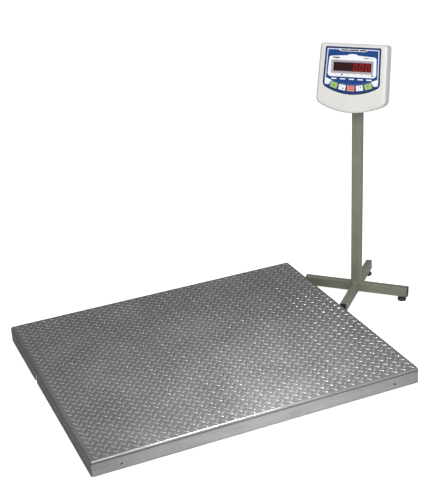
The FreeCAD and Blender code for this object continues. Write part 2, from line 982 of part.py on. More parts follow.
def load_cell_cables():
    """Each cell's cable dips to a low lane under the channel and the ribs, and rises into its gland."""
    order = [("front_left", 0), ("front_right", 1), ("rear_right", 2), ("rear_left", 3)]
    shapes = []
    for corner, lane in order:
        x_side, y_side = CORNERS[corner]
        side = f"{x_side} * channel_place"
        lane_y = cell_lane(lane)
        riser = "box_left - 28"
        end = f"{y_side} * (cell_outer_end - cell_long - cell_nub_long + 8)"
        out = f"{y_side} * (cell_outer_end - cell_long - cell_nub_long - 13)"
        runs = [(side, end, "cell_nub_rise"), (side, out, "cell_nub_rise")]
        if y_side < 0:
            runs.append((side, f"({out}) + 22", "cable_low"))
            runs.append((side, lane_y, "cable_low"))
        else:
            runs.append((side, lane_y, "cable_low"))
        runs.append((riser, lane_y, "cable_low"))
        runs.append((riser, lane_y, "gland_rise"))
        runs.append(("box_left + box_wall + 4", lane_y, "gland_rise"))
        bend = number("cable_bend") if y_side < 0 or lane == 2 else number("cable_bend") * 0.7
        shapes.append(cable_shape([vector(*run) for run in runs], bend, number("cable_radius")))
    node("load_cell_cables", shaped("load_cell_cables", Part.makeCompound(shapes)))


def signal_cable():
    """From the junction box under the plate, out through the right notch, beneath a leg of the stand, up
    inside the column and into the back of the head."""
    stand = FreeCAD.Placement(
        vector("stand_x", "stand_y", "0"), FreeCAD.Rotation(FreeCAD.Vector(0, 0, 1), number("stand_turn"))
    )
    head = stand * FreeCAD.Placement(
        vector("0", "-head_reach", "head_rise"), FreeCAD.Rotation(
            FreeCAD.Vector(1, 0, 0), -number("head_lean")
)
    )
    tip = "gland_hex_tall + gland_dome_tall"
    low = "cable_low - 1"
    points = [
        vector("box_left + box_length - box_wall - 4", "signal_lane", "gland_rise"),
        vector(f"box_left + box_length + {tip} + 12", "signal_lane", "gland_rise"),
        vector(f"box_left + box_length + {tip} + 12", "signal_lane", "cable_low"),
        vector("signal_turn", "signal_lane", "cable_low"),
        vector("signal_turn", "stand_y - 91", "cable_low"),
        stand.multVec(vector("0", "-150", low)),
        stand.multVec(vector("0", "0", low)),
        stand.multVec(vector("0", "0", "cable_exit_rise")),
    ]
    leaving = head.multVec(vector("0", f"head_depth + {tip} + 10", "gland_head_rise"))
    in_front = stand.inverse().multVec(leaving)
    points.append(stand.multVec(FreeCAD.Vector(0, in_front.y, number("cable_exit_rise"))))
    points.append(leaving)
    points.append(head.multVec(vector("0", "head_depth - head_wall - 6", "gland_head_rise")))
    node(
        "signal_cable",
        shaped("signal_cable", cable_shape(points, number("cable_bend"), number("cable_radius"))),
)


# ---------------------------------------------------------------- stand

LEGS = {"right": (1, 0), "left": (-1, 0), "back": (0, 1), "front": (0, -1)}


def tube_core(name, plane, sides, length, rounding):
    """A bar with rounded long corners: the outside of a tube, or the space within it. It's drawn on one of
    the origin planes, and reaches equally to both sides of that plane."""
    body = new_body(name)
    pad(body, outline(body, plane, rectangle(*sides)), length, both_ways=True)
    axis = {"YZ_Plane": "X", "XZ_Plane": "Y", "XY_Plane": "Z"}[plane]
    ease(body, "Fillet", rounding, lambda e: is_along(e, axis))
    return body


def leg_cores(part, inset, length):
    """The two bars of the cross, taken in by inset on all four sides."""
    wide = middle(0, f"leg_wide - 2 * ({inset})")
    up = (f"leg_low + {inset}", f"leg_low + leg_tall - ({inset})")
    rounding = f"tube_round - ({inset})"
    planes = ("YZ_Plane", "XZ_Plane")
    return [tube_core(f"leg_{part}_{plane[:2]}", plane, (wide, up), length, rounding) for plane in planes]


def stand_base():
    """Two rectangular tubes welded as a cross, a weld nut over the foot hole in the end of each."""
    outer = fuse("stand_cross_outer", *leg_cores("outer", "0", "2 * leg_reach"))
    walls = cut("stand_cross", outer, *leg_cores("inner", "leg_wall", "2 * leg_reach + 2"))
    feet = [(f"{a} * stand_foot_place", f"{b} * stand_foot_place") for a, b in LEGS.values()]
    nuts = [
        rod(
            f"weld_nut_{i}",
            "stand_nut_radius",
            (x, y, "leg_low + leg_wall / 2"),
            "leg_wall / 2 + stand_nut_tall",
)
        for i, (x, y) in enumerate(feet)
    ]
    bores = [
        rod(
            f"nut_bore_{i}",
            "stand_stem_radius + running_gap",
            (x, y, "leg_low - 1"),
            "leg_wall + stand_nut_tall + 2",
)
        for i, (x, y) in enumerate(feet)
    ]
    cable_way = rod("base_cable_way", "cable_hole + 1", ("0", "0", "leg_low - 1"), "leg_tall + 2")
    node("stand_base", cut("stand_base", fuse("stand_welded", walls, *nuts), *bores, cable_way), STAND)


def leg_end_caps():
    """A push-in plastic cap in each open tube end: a plate with the tube's outline and a plug behind it."""
    faces = leg_cores("cap_face", "0", "2 * (leg_reach + cap_thick)")
    plugs = leg_cores("cap_plug", "leg_wall + running_gap", "2 * leg_reach + cap_thick")
    caps = []
    for name, (a, b) in LEGS.items():
        pieces = []
        for part, cores, start in (("face", faces, "leg_reach"), ("plug", plugs, "leg_reach - cap_plug")):
            along = ordered(a + b, start, "leg_reach + 2 * cap_thick")
            spans = [middle(0, "2 * leg_wide"), middle(0, "2 * leg_wide"), (0, "2 * leg_tall")]
            spans[0 if a else 1] = along
            end = doc.addObject("Part::Common", f"cap_{name}_{part}")
            end.Base = block(f"cap_{name}_{part}_space", spans)
            end.Tool = cores[0 if a else 1]
            pieces.append(end)
        caps.append(fuse(f"cap_{name}", *pieces))
    node("leg_end_caps", group("leg_end_caps", *caps), STAND)


def column_core(name, inset, low, high):
    """A piece of the column's square section, taken in by inset, from one height to another."""
    side = middle(0, f"column_side - 2 * ({inset})")
    body = new_body(name)
    pad(body, outline(body, "XY_Plane", rectangle(side, side), low), f"({high}) - ({low})")
    ease(body, "Fillet", f"tube_round - ({inset})", lambda e: is_along(e, "Z"))
    return body


def stand_column():
    foot = "leg_low + leg_tall"
    outer = column_core("column_outer", "0", foot, "column_top")
    inner = column_core("column_inner", "column_wall", f"{foot} - 1", "column_top + 1")
    exit_hole = rod(
        "column_exit", "cable_hole", (
            "0", "-column_side / 2 - 1", "cable_exit_rise"
), "column_wall + 2", "y"
    )
    bolt_holes = [
        rod(
            f"column_bolt_hole_{i}",
            "bracket_bolt_radius + bolt_clearance",
            ("-column_side / 2 - 1", "0", rise),
            "column_side + 2",
            "x",
        )
        for i, rise in enumerate(("bracket_bolt_low", "bracket_bolt_high"))
    ]
    node("stand_column", cut("stand_column", outer, inner, exit_hole, *bolt_holes), STAND)
    lid = column_core("column_cap_lid", "0", "column_top", "column_top + column_cap_thick")
    plug = column_core(
        "column_cap_plug", "column_wall + running_gap", "column_top - cap_plug", "column_top + 1"
)
    node("column_cap", fuse("column_cap", lid, plug), STAND)


def stand_foot(name):
    """A moulded foot with a domed edge, and the threaded stem that turns in it."""
    a, b = LEGS[name]
    centre = (f"{a} * stand_foot_place", f"{b} * stand_foot_place")
    pad_name = f"stand_pad_{name}"
    disc = new_body(f"{pad_name}_disc")
    pad(disc, circles(disc, "XY_Plane", [centre], "stand_pad_radius"), "stand_pad_tall")
    ease(disc, "Fillet", "stand_pad_round", lambda e: e.BoundBox.ZMin > number("stand_pad_tall") - 1e-6)
    hub = rod(
        f"{pad_name}_hub",
        "stand_hub_radius",
        (*centre, "stand_pad_tall - 1"),
        "stand_hub_top - stand_pad_tall + 1",
)
    bore = rod(
        f"{pad_name}_bore",
        "stand_stem_radius + running_gap",
        (*centre, "foot_bore_low"),
        "stand_hub_top - foot_bore_low + 1",
    )
    node(pad_name, cut(pad_name, fuse(f"{pad_name}_body", disc, hub), bore), STAND)
    stem_name = f"stand_stem_{name}"
    low = "foot_bore_low + running_gap"
    stem = rod(f"{stem_name}_rod", "stand_stem_radius", (*centre, low), f"stand_stem_top - ({low})")
    flats = hexagon(f"{stem_name}_flats", "stand_hex_radius", (*centre, "stand_hex_low"), "stand_hex_tall")
    node(stem_name, fuse(stem_name, stem, flats), STAND)


def head_bracket():
    """Two cheeks that clasp the column, and the leaning plate that the head is screwed to."""
    lap = "(head_depth + bracket_thick / 2)"

    def plate_middle(rise):
        lift = f"({rise} - head_rise + {lap} * sin(head_lean))"
        return f"-head_reach + {lap} * cos(head_lean) + {lift} * tan(head_lean)"

    body = new_body("bracket_cheeks")
    profile = [
        ("column_side / 2", "bracket_cheek_low"),
        ("column_side / 2", "bracket_cheek_high"),
        (plate_middle("bracket_cheek_high"), "bracket_cheek_high"),
        (plate_middle("bracket_cheek_low"), "bracket_cheek_low"),
    ]
    width = "column_side + 2 * bracket_slack + 2 * bracket_thick"
    pad(body, outline(body, "YZ_Plane", profile), width, both_ways=True)
    plate = block(
        "bracket_plate",
        (
            middle(0, "bracket_plate_wide"),
            ("head_depth", "head_depth + bracket_thick"),
            ("bracket_plate_low", "bracket_plate_high"),
        ),
    )
    screw_holes = [
        rod(
            f"bracket_screw_hole_{i}",
            "mount_screw_radius + 0.3",
            (x, "head_depth - 1", z),
            "bracket_thick + 2",
            "y",
)
        for i, (x, z) in enumerate(MOUNT_SCREWS)
    ]
    pierced = cut("bracket_pierced", plate, *screw_holes)
    leaning = group("bracket_leaning", pierced)
    leaning.setExpression("Placement", HEAD_ON_STAND)
    gap = middle(0, "column_side + 2 * bracket_slack")
    column_way = block(
        "bracket_column_way", (gap, ("-column_side / 2 - bracket_slack", "column_side"), ("0", "1000"))
)
    front_way = block(
        "bracket_front_way",
        (
            gap,
            ("-column_side - 14", "-column_side / 2"),
            ("bracket_cheek_low - 1", "bracket_cheek_high + 1"),
),
    )
    cheeks = cut("bracket_two_cheeks", body, column_way, front_way)
    bolt_holes = [
        rod(
            f"bracket_bolt_hole_{i}",
            "bracket_bolt_radius + bolt_clearance",
            ("-column_side", "0", rise),
            "2 * column_side",
            "x",
        )
        for i, rise in enumerate(("bracket_bolt_low", "bracket_bolt_high"))
    ]
    whole = fuse("bracket_whole", cheeks, leaning)
    node("head_bracket", cut("head_bracket", whole, *bolt_holes), STAND)


MOUNT_SCREWS = [
    (f"{side} * mount_screw_side", rise) for side in (-1, 1) for rise in (
        "mount_screw_low", "mount_screw_high"
)
]


def bracket_fixings():
    """Two bolts with nuts across the column, and four screws through the plate into the head."""
    pieces = []
    half = "(column_side / 2 + bracket_slack + bracket_thick)"
    for i, rise in enumerate(("bracket_bolt_low", "bracket_bolt_high")):
        name = f"bracket_bolt_{i}"
        tip = f"{half} + bracket_nut_tall + 2"
        head = hexagon(
            f"{name}_head", "bracket_head_radius", (
                f"-{half} - bracket_head_tall", "0", rise
), "bracket_head_tall", "x"
        )
        shank = rod(
            f"{name}_shank", "bracket_bolt_radius", (f"-{half} - 1", "0", rise), f"{half} + 1 + {tip}", "x"
)
        pieces.append(fuse(name, head, shank))
        nut = hexagon(f"{name}_nut_hex", "bracket_head_radius", (half, "0", rise), "bracket_nut_tall", "x")
        thread = rod(
            f"{name}_nut_bore",
            "bracket_bolt_radius + running_gap",
            (f"{half} - 1", "0", rise),
            "bracket_nut_tall + 2",
            "x",
        )
        pieces.append(cut(f"{name}_nut", nut, thread))
    node("bracket_bolts", group("bracket_bolts", *pieces), STAND)
    screws = []
    back = "head_depth + bracket_thick"
    for i, (x, z) in enumerate(MOUNT_SCREWS):
        head = rod(f"mount_screw_{i}_head", "mount_screw_head", (x, back, z), "mount_screw_head_tall", "y")
        deep = "mount_boss_long"
        shank = rod(
            f"mount_screw_{i}_shank", "mount_screw_radius", (x, f"{back} - {deep}", z), f"{deep} + 1", "y"
)
        slot = hexagon(
            f"mount_screw_{i}_slot", "mount_screw_slot", (x, f"{back} + 1", z), "mount_screw_head_tall", "y"
)
        screws.append(cut(f"mount_screw_{i}", fuse(f"mount_screw_{i}_body", head, shank), slot))
    node("head_mount_screws", group("head_mount_screws", *screws), HEAD)


# ---------------------------------------------------------------- display head


def head_profile(inset, near, far):
    """The head's front outline, taken in by inset and drawn out from depth near to depth far: slanting
    sides, a straight top and a chin that is one wide arc, with rounded corners."""
    top = number("head_tall") - inset
    top_half = number("head_top_half") - inset
    low_half = number("head_low_half") - inset
    side_low = number("head_side_low")
    centre = number("head_chin_radius")
    radius = centre - inset
    slope = (low_half - top_half) / (number("head_tall") - side_low)
    low = side_low
    for _ in range(20):
        half = low_half + slope * (side_low - low)
        low = centre - math.sqrt(radius**2 - half**2)
    half = low_half + slope * (side_low - low)
    corners = [
        FreeCAD.Vector(-top_half, near, top),
        FreeCAD.Vector(top_half, near, top),
        FreeCAD.Vector(half, near, low),
        FreeCAD.Vector(-half, near, low),
    ]
    edges = [Part.LineSegment(corners[i], corners[i + 1]).toShape() for i in (0, 1)]
    edges.append(Part.Arc(corners[2], FreeCAD.Vector(0, near, inset), corners[3]).toShape())
    edges.append(Part.LineSegment(corners[3], corners[0]).toShape())
    solid = Part.Face(Part.Wire(edges)).extrude(FreeCAD.Vector(0, far - near, 0))
    high = [e for e in solid.Edges if is_along(e, "Y") and e.BoundBox.ZMin > top - 1]
    solid = solid.makeFillet(number("head_corner_top") - inset, high)
    deep = [e for e in solid.Edges if is_along(e, "Y") and e.BoundBox.ZMin < top / 2]
    return solid.makeFillet(number("head_corner_low") - inset, deep)


def rim(shape, depth):
    """The edges that lie wholly at one depth."""
    return [
        e
        for e in shape.Edges if abs(e.BoundBox.YMin - depth) < 1e-4 and abs(e.BoundBox.YMax - depth) < 1e-4
]


def head_shell():
    """The whole closed case before it is split, with a fine groove round the parting line."""
    depth = number("head_depth")
    outer = head_profile(0, 0, depth)
    outer = outer.makeFillet(number("head_edge_front"), rim(outer, 0))
    outer = outer.makeFillet(number("head_edge_back"), rim(outer, depth))
    front = number("head_front_wall")
    back = depth - number("head_wall")
    inner = head_profile(number("head_wall"), front, back)
    inner = inner.makeFillet(number("head_edge_front - head_wall"), rim(inner, front))
    inner = inner.makeFillet(number("head_edge_back - head_wall"), rim(inner, back))
    split = number("head_split")
    half = number("seam_half")
    ring = head_profile(0, split - half, split + half).cut(
        head_profile(number("seam_deep"), split - half, split + half)
    )
    return outer.cut(inner).cut(ring)


def label_profile(grow, near, far):
    """The label's outline: nearly straight sides over a wide arc, all corners rounded."""
    top = number("label_top") + grow
    top_half = number("label_top_half") + grow
    low_half = number("label_low_half") + grow
    centre = number("label_low + label_arc")
    radius = number("label_arc") + grow
    low = centre - math.sqrt(radius**2 - low_half**2)
    corners = [
        FreeCAD.Vector(-top_half, near, top),
        FreeCAD.Vector(top_half, near, top),
        FreeCAD.Vector(low_half, near, low),
        FreeCAD.Vector(-low_half, near, low),
    ]
    edges = [Part.LineSegment(corners[i], corners[i + 1]).toShape() for i in (0, 1)]
    edges.append(Part.Arc(corners[2], FreeCAD.Vector(0, near, centre - radius), corners[3]).toShape())
    edges.append(Part.LineSegment(corners[3], corners[0]).toShape())
    solid = Part.Face(Part.Wire(edges)).extrude(FreeCAD.Vector(0, far - near, 0))
    high = [e for e in solid.Edges if is_along(e, "Y") and e.BoundBox.ZMin > top - 1]
    solid = solid.makeFillet(number("label_corner_top") + grow, high)
    deep = [e for e in solid.Edges if is_along(e, "Y") and e.BoundBox.ZMin < low + 1]
    return solid.makeFillet(number("label_corner_low") + grow, deep)


def box_shape(x_span, y_span, z_span):
    low = FreeCAD.Vector(x_span[0], y_span[0], z_span[0])
    return Part.makeBox(x_span[1] - x_span[0], y_span[1] - y_span[0], z_span[1] - z_span[0], low)


def rod_shape(radius, x, z, near, far):
    """A cylinder along the head's depth. Its place across and up may be numbers or expressions."""
    start = FreeCAD.Vector(number(x), near, number(z))
    return Part.makeCylinder(radius, far - near, start, FreeCAD.Vector(0, 1, 0))


def key_placements():
    """Where the five keys sit: on an arc along the label's lower edge, each turned with it."""
    arc = number("key_arc")
    rise = number("key_rise")
    for i in range(-2, 3):
        turn = i * number("key_step")
        angle = math.radians(turn)
        spot = FreeCAD.Vector(arc * math.sin(angle), 0, rise + arc * (1 - math.cos(angle)))
        yield FreeCAD.Placement(spot, FreeCAD.Rotation(FreeCAD.Vector(0, 1, 0), -turn))


def key_blocks(grow, near, far):
    wide = number("key_wide") / 2 + grow
    tall = number("key_tall") / 2 + grow
    shapes = []
    for spot in key_placements():
        shape = box_shape((-wide, wide), (near, far), (-tall, tall))
        shape.Placement = spot
        shapes.append(shape)
    return shapes


def window_block(grow, near, far):
    half = number("window_length") / 2 + grow
    tall = number("window_tall") / 2 + grow
    rise = number("window_rise")
    return box_shape((-half, half), (near, far), (rise - tall, rise + tall))


CASE_SCREWS = [
    (side, width, rise)
    for side in (-1, 1)
    for width, rise in (
        ("case_screw_top_side", "case_screw_top"), ("case_screw_low_side", "case_screw_low")
)
]
DISPLAY_POSTS = [
    (f"{side} * display_post_side", f"window_rise + {up} * display_post_lift") for side in (-1, 1) for up in (
        -1, 1
)
]
KEY_BOARD_POSTS = [(f"{side} * key_post_side", "key_post_rise") for side in (-1, 1)]
MAIN_BOARD_POSTS = [
    (f"{side} * main_post_side", rise) for side in (-1, 1) for rise in ("main_post_low", "main_post_high")
]


def housing_front(shell):
    split = number("head_split")
    front = number("head_front_wall")
    far = number("head_depth") + 10
    shape = shell.common(box_shape((-200, 200), (-10, split), (-50, 300)))
    boss = number("boss_radius")
    outer_space = head_profile(number("head_wall") / 2, number("head_front_wall") / 2, split)
    added = [
        rod_shape(boss, f"{side} * {width}", rise, front - 1, split)
        for side, width, rise in CASE_SCREWS
    ]
    post = number("post_radius")
    added += [rod_shape(post, x, z, front - 1, number("display_board_front")) for x, z in DISPLAY_POSTS]
    added += [rod_shape(post, x, z, front - 1, number("key_board_front")) for x, z in KEY_BOARD_POSTS]
    added = [piece.common(outer_space) for piece in added]
    shape = shape.fuse(added)
    taken = [
        window_block(number("bezel_body + 0.2"), -1, front + 1),
        label_profile(number("label_gap"), -1, number("label_thick")),
    ]
    taken += key_blocks(number("key_gap"), -1, number("key_pocket"))
    for spot in key_placements():
        taken.append(rod_shape(number("plunger_hole"), spot.Base.x, spot.Base.z, -1, front + 1))
    screw = number("case_screw_radius + running_gap")
    tip = number("head_depth - case_screw_head_tall - case_screw_sink - case_screw_long") - 2
    for side, width, rise in CASE_SCREWS:
        taken.append(rod_shape(screw, f"{side} * {width}", rise, tip, far))
    node("housing_front", shaped("housing_front", shape.cut(taken).removeSplitter()), HEAD)


def housing_rear(shell):
    split = number("head_split")
    depth = number("head_depth")
    back = number("head_depth - head_wall")
    shape = shell.common(box_shape((-200, 200), (split, depth + 10), (-50, 300)))
    inner_space = head_profile(number("head_wall") / 2, split, depth - 1)
    boss = number("boss_radius")
    added = [
        rod_shape(boss, f"{side} * {width}", rise, split, back + 1) for side, width, rise in CASE_SCREWS
    ]
    added += [
        rod_shape(boss, x, z, number("head_depth - mount_boss_long"), back + 1) for x, z in MOUNT_SCREWS
    ]
    post_start = number("main_board_front + board_thick")
    added += [
        rod_shape(number("post_radius"), x, z, max(split, post_start), back + 1)
        for x, z in MAIN_BOARD_POSTS
]
    low = number("shelf_rise")
    across = (number("shelf_left"), number("shelf_right"))
    added.append(box_shape(across, (split, back + 1), (low, low + number("shelf_thick"))))
    added = [piece.common(inner_space) for piece in added]
    shape = shape.fuse(added)
    head_seat = number("head_depth - case_screw_head_tall - case_screw_sink")
    taken = []
    for side, width, rise in CASE_SCREWS:
        x = side * number(width)
        z = number(rise)
        taken.append(rod_shape(number("case_screw_radius + running_gap"), x, z, split - 1, depth + 1))
        taken.append(rod_shape(number("case_screw_head") + 0.4, x, z, head_seat, depth + 1))
    for x, z in MOUNT_SCREWS:
        hole = number("mount_screw_radius + running_gap")
        taken.append(rod_shape(hole, x, z, number("head_depth - mount_boss_long + 2"), depth + 1))
    taken.append(rod_shape(number("gland_radius"), 0, number("gland_head_rise"), back - 1, depth + 1))
    for opening in ("switch_box", "inlet"):
        part = opening.split("_")[0]
        x = number(f"{part}_side_place")
        z = number(f"{part}_rise")
        wide = number(f"{opening}_wide / 2 + opening_gap")
        tall = number(f"{opening}_tall / 2 + opening_gap")
        taken.append(box_shape((x - wide, x + wide), (back - 1, depth + 1), (z - tall, z + tall)))
    wide = number("vent_wide")
    vent_rise = (number("vent_low"), number("vent_high"))
    for i in range(-6, 7):
        x = 2 * i * wide
        taken.append(box_shape((x - wide / 2, x + wide / 2), (back - 1, depth + 1), vent_rise))
    node("housing_rear", shaped("housing_rear", shape.cut(taken).removeSplitter()), HEAD)


def housing_screws():
    screws = []
    seat = "head_depth - case_screw_head_tall - case_screw_sink"
    for i, (side, width, rise) in enumerate(CASE_SCREWS):
        x = f"{side} * {width}"
        head = rod(f"case_screw_{i}_head", "case_screw_head", (x, seat, rise), "case_screw_head_tall", "y")
        shank_start = f"{seat} - case_screw_long"
        shank = rod(
            f"case_screw_{i}_shank", "case_screw_radius", (x, shank_start, rise), "case_screw_long + 1", "y"
)
        recess = hexagon(
            f"case_screw_{i}_recess",
            "case_screw_slot",
            (x, f"{seat} + 1", rise),
            "case_screw_head_tall",
            "y",
)
        screws.append(cut(f"case_screw_{i}", fuse(f"case_screw_{i}_body", head, shank), recess))
    node("housing_screws", group("housing_screws", *screws), HEAD)


def keypad_overlay():
    sheet_shape = label_profile(0, 0, number("label_thick"))
    openings = [window_block(number("bezel_body + 0.3"), -1, 2)]
    openings += key_blocks(number("key_gap"), -1, 2)
    node("keypad_overlay", shaped("keypad_overlay", sheet_shape.cut(openings)), HEAD)


def display_bezel():
    rim_block = window_block(number("bezel_rim"), -number("bezel_proud"), 0)
    rim_block = rim_block.makeFillet(3, [e for e in rim_block.Edges if is_along(e, "Y")])
    body = window_block(number("bezel_body"), -0.1, number("bezel_back"))
    shape = rim_block.fuse(body)
    shape = shape.cut(
        [window_block(0, -5, 10), window_block(number("window_lap") + 0.1, number("window_front"), 10)]
)
    node("display_bezel", shaped("display_bezel", shape.removeSplitter()), HEAD)


def display_window():
    lap = "(window_length + 2 * window_lap)"
    tall = "(window_tall + 2 * window_lap)"
    spans = (middle(0, lap), ("window_front", "window_front + window_thick"), middle("window_rise", tall))
    node("display_window", group("display_window", block("window_pane", spans)), HEAD)


def display_board():
    back = ("display_board_front", "display_board_front + board_thick")
    plate_up = middle("window_rise", "display_board_tall")
    plate = block("display_plate", (middle(0, "display_board_wide"), back, plate_up))
    chips = [
        block(
            f"display_chip_{i}",
            (
                middle(f"{i - 1} * chip_pitch", "chip_side"),
                (f"{back[1]} - 0.1", f"{back[1]} + chip_deep"),
                middle("window_rise", "chip_tall"),
            ),
        )
        for i in range(3)
    ]
    node("display_board", fuse("display_board", plate, *chips), HEAD)
    digits = []
    for i in range(6):
        digits.append(
            block(
                f"digit_{i}",
                (
                    middle(f"{i - 2.5} * digit_pitch", "digit_wide"),
                    ("display_board_front - digit_deep", "display_board_front"),
                    middle("window_rise", "digit_tall"),
                ),
            )
        )
    node("led_digits", group("led_digits", *digits), HEAD)


def keys():
    """Five keys with softly rounded caps, each with a plunger through the case wall."""
    for i in range(-2, 3):
        name = f"key_{i + 3}"
        body = new_body(name)
        corners = rectangle(middle(0, "key_wide"), middle(0, "key_tall"))
        cap = outline(body, "XZ_Plane", corners, "(key_proud - key_back) / 2", "cap")
        pad(body, cap, "key_proud + key_back", both_ways=True)
        ease(body, "Fillet", "key_corner", lambda e: is_along(e, "Y"))
        front = -number("key_proud")
        ease(body, "Fillet", "key_edge", lambda e: e.BoundBox.YMax < front + 1e-4)
        plunger = circles(body, "XZ_Plane", [("0", "0")], "plunger_radius", "-plunger_tip / 2", "plunger")
        pad(body, plunger, "plunger_tip", both_ways=True)
        turn = f"{i} * sizes.key_step"
        across = f"sizes.key_arc * sin({turn})"
        spot = f"create(<<vector>>; {across}; 0; sizes.key_rise + sizes.key_arc * (1 - cos({turn})))"
        tilt = f"create(<<rotation>>; create(<<vector>>; 0; 1; 0); {-i} * sizes.key_step)"
        node(name, body, f"{HEAD} * create(<<placement>>; {spot}; {tilt})")


def keypad_board():
    front = number("key_board_front")
    thick = number("board_thick")
    wide = number("key_board_half")
    plate = box_shape(
        (-wide, wide), (front, front + thick), (number("key_board_low"), number("key_board_high"))
)
    half = number("switch_side") / 2
    deep = number("switch_deep")
    button = number("switch_button_tall")
    pieces = []
    for spot in key_placements():
        x = spot.Base.x
        z = spot.Base.z
        pieces.append(box_shape((x - half, x + half), (front - deep, front + 0.1), (z - half, z + half)))
        pieces.append(rod_shape(number("switch_button"), x, z, front - deep - button, front - deep + 0.1))
    node("keypad_board", shaped("keypad_board", plate.fuse(pieces).removeSplitter()), HEAD)


def main_board():
    front = "main_board_front"
    plate_depth = (front, f"{front} + board_thick")
    plate = block(
        "main_plate", (middle(0, "main_board_wide"), plate_depth, ("main_board_low", "main_board_high"))
)
    parts = []
    for name, wide, tall, deep in (
        ("processor", "processor_side", "processor_side", "chip_deep"),
        ("socket", "socket_long", "socket_tall", "socket_deep"),
        ("sink", "sink_wide", "sink_tall", "sink_deep"),
    ):
        across = (f"{name}_left", f"{name}_left + {wide}")
        up = (f"{name}_low", f"{name}_low + {tall}")
        parts.append(block(f"main_{name}", (across, (f"{front} - {deep}", f"{front} + 0.1"), up)))
    for i in range(2):
        start = (f"capacitor_place + {i} * capacitor_pitch", f"{front} - capacitor_deep", "capacitor_rise")
        parts.append(rod(f"main_capacitor_{i}", "capacitor_radius", start, "capacitor_deep + 0.1", "y"))
    node("main_board", fuse("main_board", plate, *parts), HEAD)


ROCKER_AXIS = ("switch_side_place", "head_depth + switch_face - rocker_thick")


def power_parts():
    """The rechargeable battery and the transformer on their shelf, the mains inlet and the switch frame."""
    shelf_top = "shelf_rise + shelf_thick"
    battery_top = f"{shelf_top} + battery_tall"
    case_spans = (
        ("battery_left", "battery_right"), ("battery_front", "battery_back"), (shelf_top, battery_top)
)
    case = block("battery_case", case_spans)
    pole_depth = middle("battery_front + pole_inset", "1")
    poles = [
        block(
            f"battery_pole_{i}",
            (middle(x, "pole_wide"), pole_depth, (battery_top, f"{battery_top} + pole_tall")),
)
        for i, x in enumerate(("battery_left + pole_inset", "battery_right - pole_inset"))
    ]
    node("battery", fuse("battery", case, *poles), HEAD)
    core_up = (shelf_top, f"{shelf_top} + core_tall")
    core = block("transformer_core", (("core_left", "core_right"), ("core_front", "core_back"), core_up))
    coil_across = ("core_left + coil_inset", "core_right - coil_inset")
    coil_up = (f"{core_up[0]} + coil_inset", f"{core_up[1]} - coil_inset")
    coil = block("transformer_coil", (coil_across, ("coil_front", "coil_back"), coil_up))
    node("transformer", fuse("transformer", core, coil), HEAD)

    x, z = "inlet_side_place", "inlet_rise"
    flange_depth = ("head_depth", "head_depth + inlet_flange_thick")
    flange = block(
        "inlet_flange", (middle(x, "inlet_flange_wide"), flange_depth, middle(z, "inlet_flange_tall"))
)
    body_depth = ("head_depth - inlet_deep", "head_depth + 0.1")
    body = block("inlet_body", (middle(x, "inlet_wide"), body_depth, middle(z, "inlet_tall")))
    well_depth = ("head_depth - inlet_well_deep", "head_depth + 3")
    well = block("inlet_well", (middle(x, "inlet_well_wide"), well_depth, middle(z, "inlet_well_tall")))
    shell = cut("inlet_shell", fuse("inlet_solid", flange, body), well)
    pin_depth = ("head_depth - inlet_well_deep - 1", "head_depth")
    pins = [
        block(
            f"inlet_pin_{i}", (middle(f"{x} + {side} * inlet_pin_pitch", "2"), pin_depth, middle(rise, "4"))
)
        for i, (side, rise) in enumerate(((-1, f"{z} - 1.5"), (0, f"{z} + 2"), (1, f"{z} - 1.5")))
    ]
    node("mains_inlet", fuse("mains_inlet", shell, *pins), HEAD)

    x, z = "switch_side_place", "switch_rise"
    flange_depth = ("head_depth", "head_depth + switch_face")
    flange = block(
        "switch_flange", (middle(x, "switch_flange_wide"), flange_depth, middle(z, "switch_flange_tall"))
)
    body_depth = ("head_depth - switch_box_deep", "head_depth + 0.1")
    body = block("switch_body", (middle(x, "switch_box_wide"), body_depth, middle(z, "switch_box_tall")))
    way_depth = ("head_depth - switch_way_deep", "head_depth + 3")
    way = block("switch_way", (middle(x, "switch_way_wide"), way_depth, middle(z, "switch_way_tall")))
    socket = rod(
        "rocker_socket",
        "rocker_pin_radius + running_gap",
        (*ROCKER_AXIS, f"{z} - rocker_pin_half - running_gap"),
        "2 * (rocker_pin_half + running_gap)",
    )
    node("switch_frame", cut("switch_frame", fuse("switch_solid", flange, body), way, socket), HEAD)


def power_rocker():
    """The rocker in its on position: one half flush with the frame and the other half standing out. It
    tips on a pin that runs upright through its back, in two sockets of the frame."""
    body = new_body("rocker_cap")
    left = "switch_side_place - rocker_half"
    right = "switch_side_place + rocker_half"
    face = "head_depth + switch_face"
    profile = [
        (left, f"{face} - rocker_thick"),
        (right, f"{face} - rocker_thick"),
        (right, face),
        ("switch_side_place", face),
        (left, f"{face} + rocker_half * tan(rocker_throw)"),
    ]
    pad(body, outline(body, "XY_Plane", profile, "switch_rise"), "rocker_tall", both_ways=True)
    pin = rod(
        "rocker_pin",
        "rocker_pin_radius",
        (*ROCKER_AXIS, "switch_rise - rocker_pin_half"),
        "2 * rocker_pin_half",
)
    node("power_rocker", fuse("power_rocker_whole", body, pin), HEAD)


def build():
    deck_plate()
    deck_ribs()
    side_channels()
    lifting_bushes()
    for corner in CORNERS:
        load_cell(corner)
    load_cell_fixings()
    for corner in CORNERS:
        levelling_foot(corner)
    junction_box()
    cable_glands()
    load_cell_cables()
    signal_cable()
    stand_base()
    leg_end_caps()
    stand_column()
    for name in LEGS:
        stand_foot(name)
    head_bracket()
    bracket_fixings()
    shell = head_shell()
    housing_front(shell)
    housing_rear(shell)
    housing_screws()
    keypad_overlay()
    display_bezel()
    display_window()
    display_board()
    keys()
    keypad_board()
    main_board()
    power_parts()
    power_rocker()


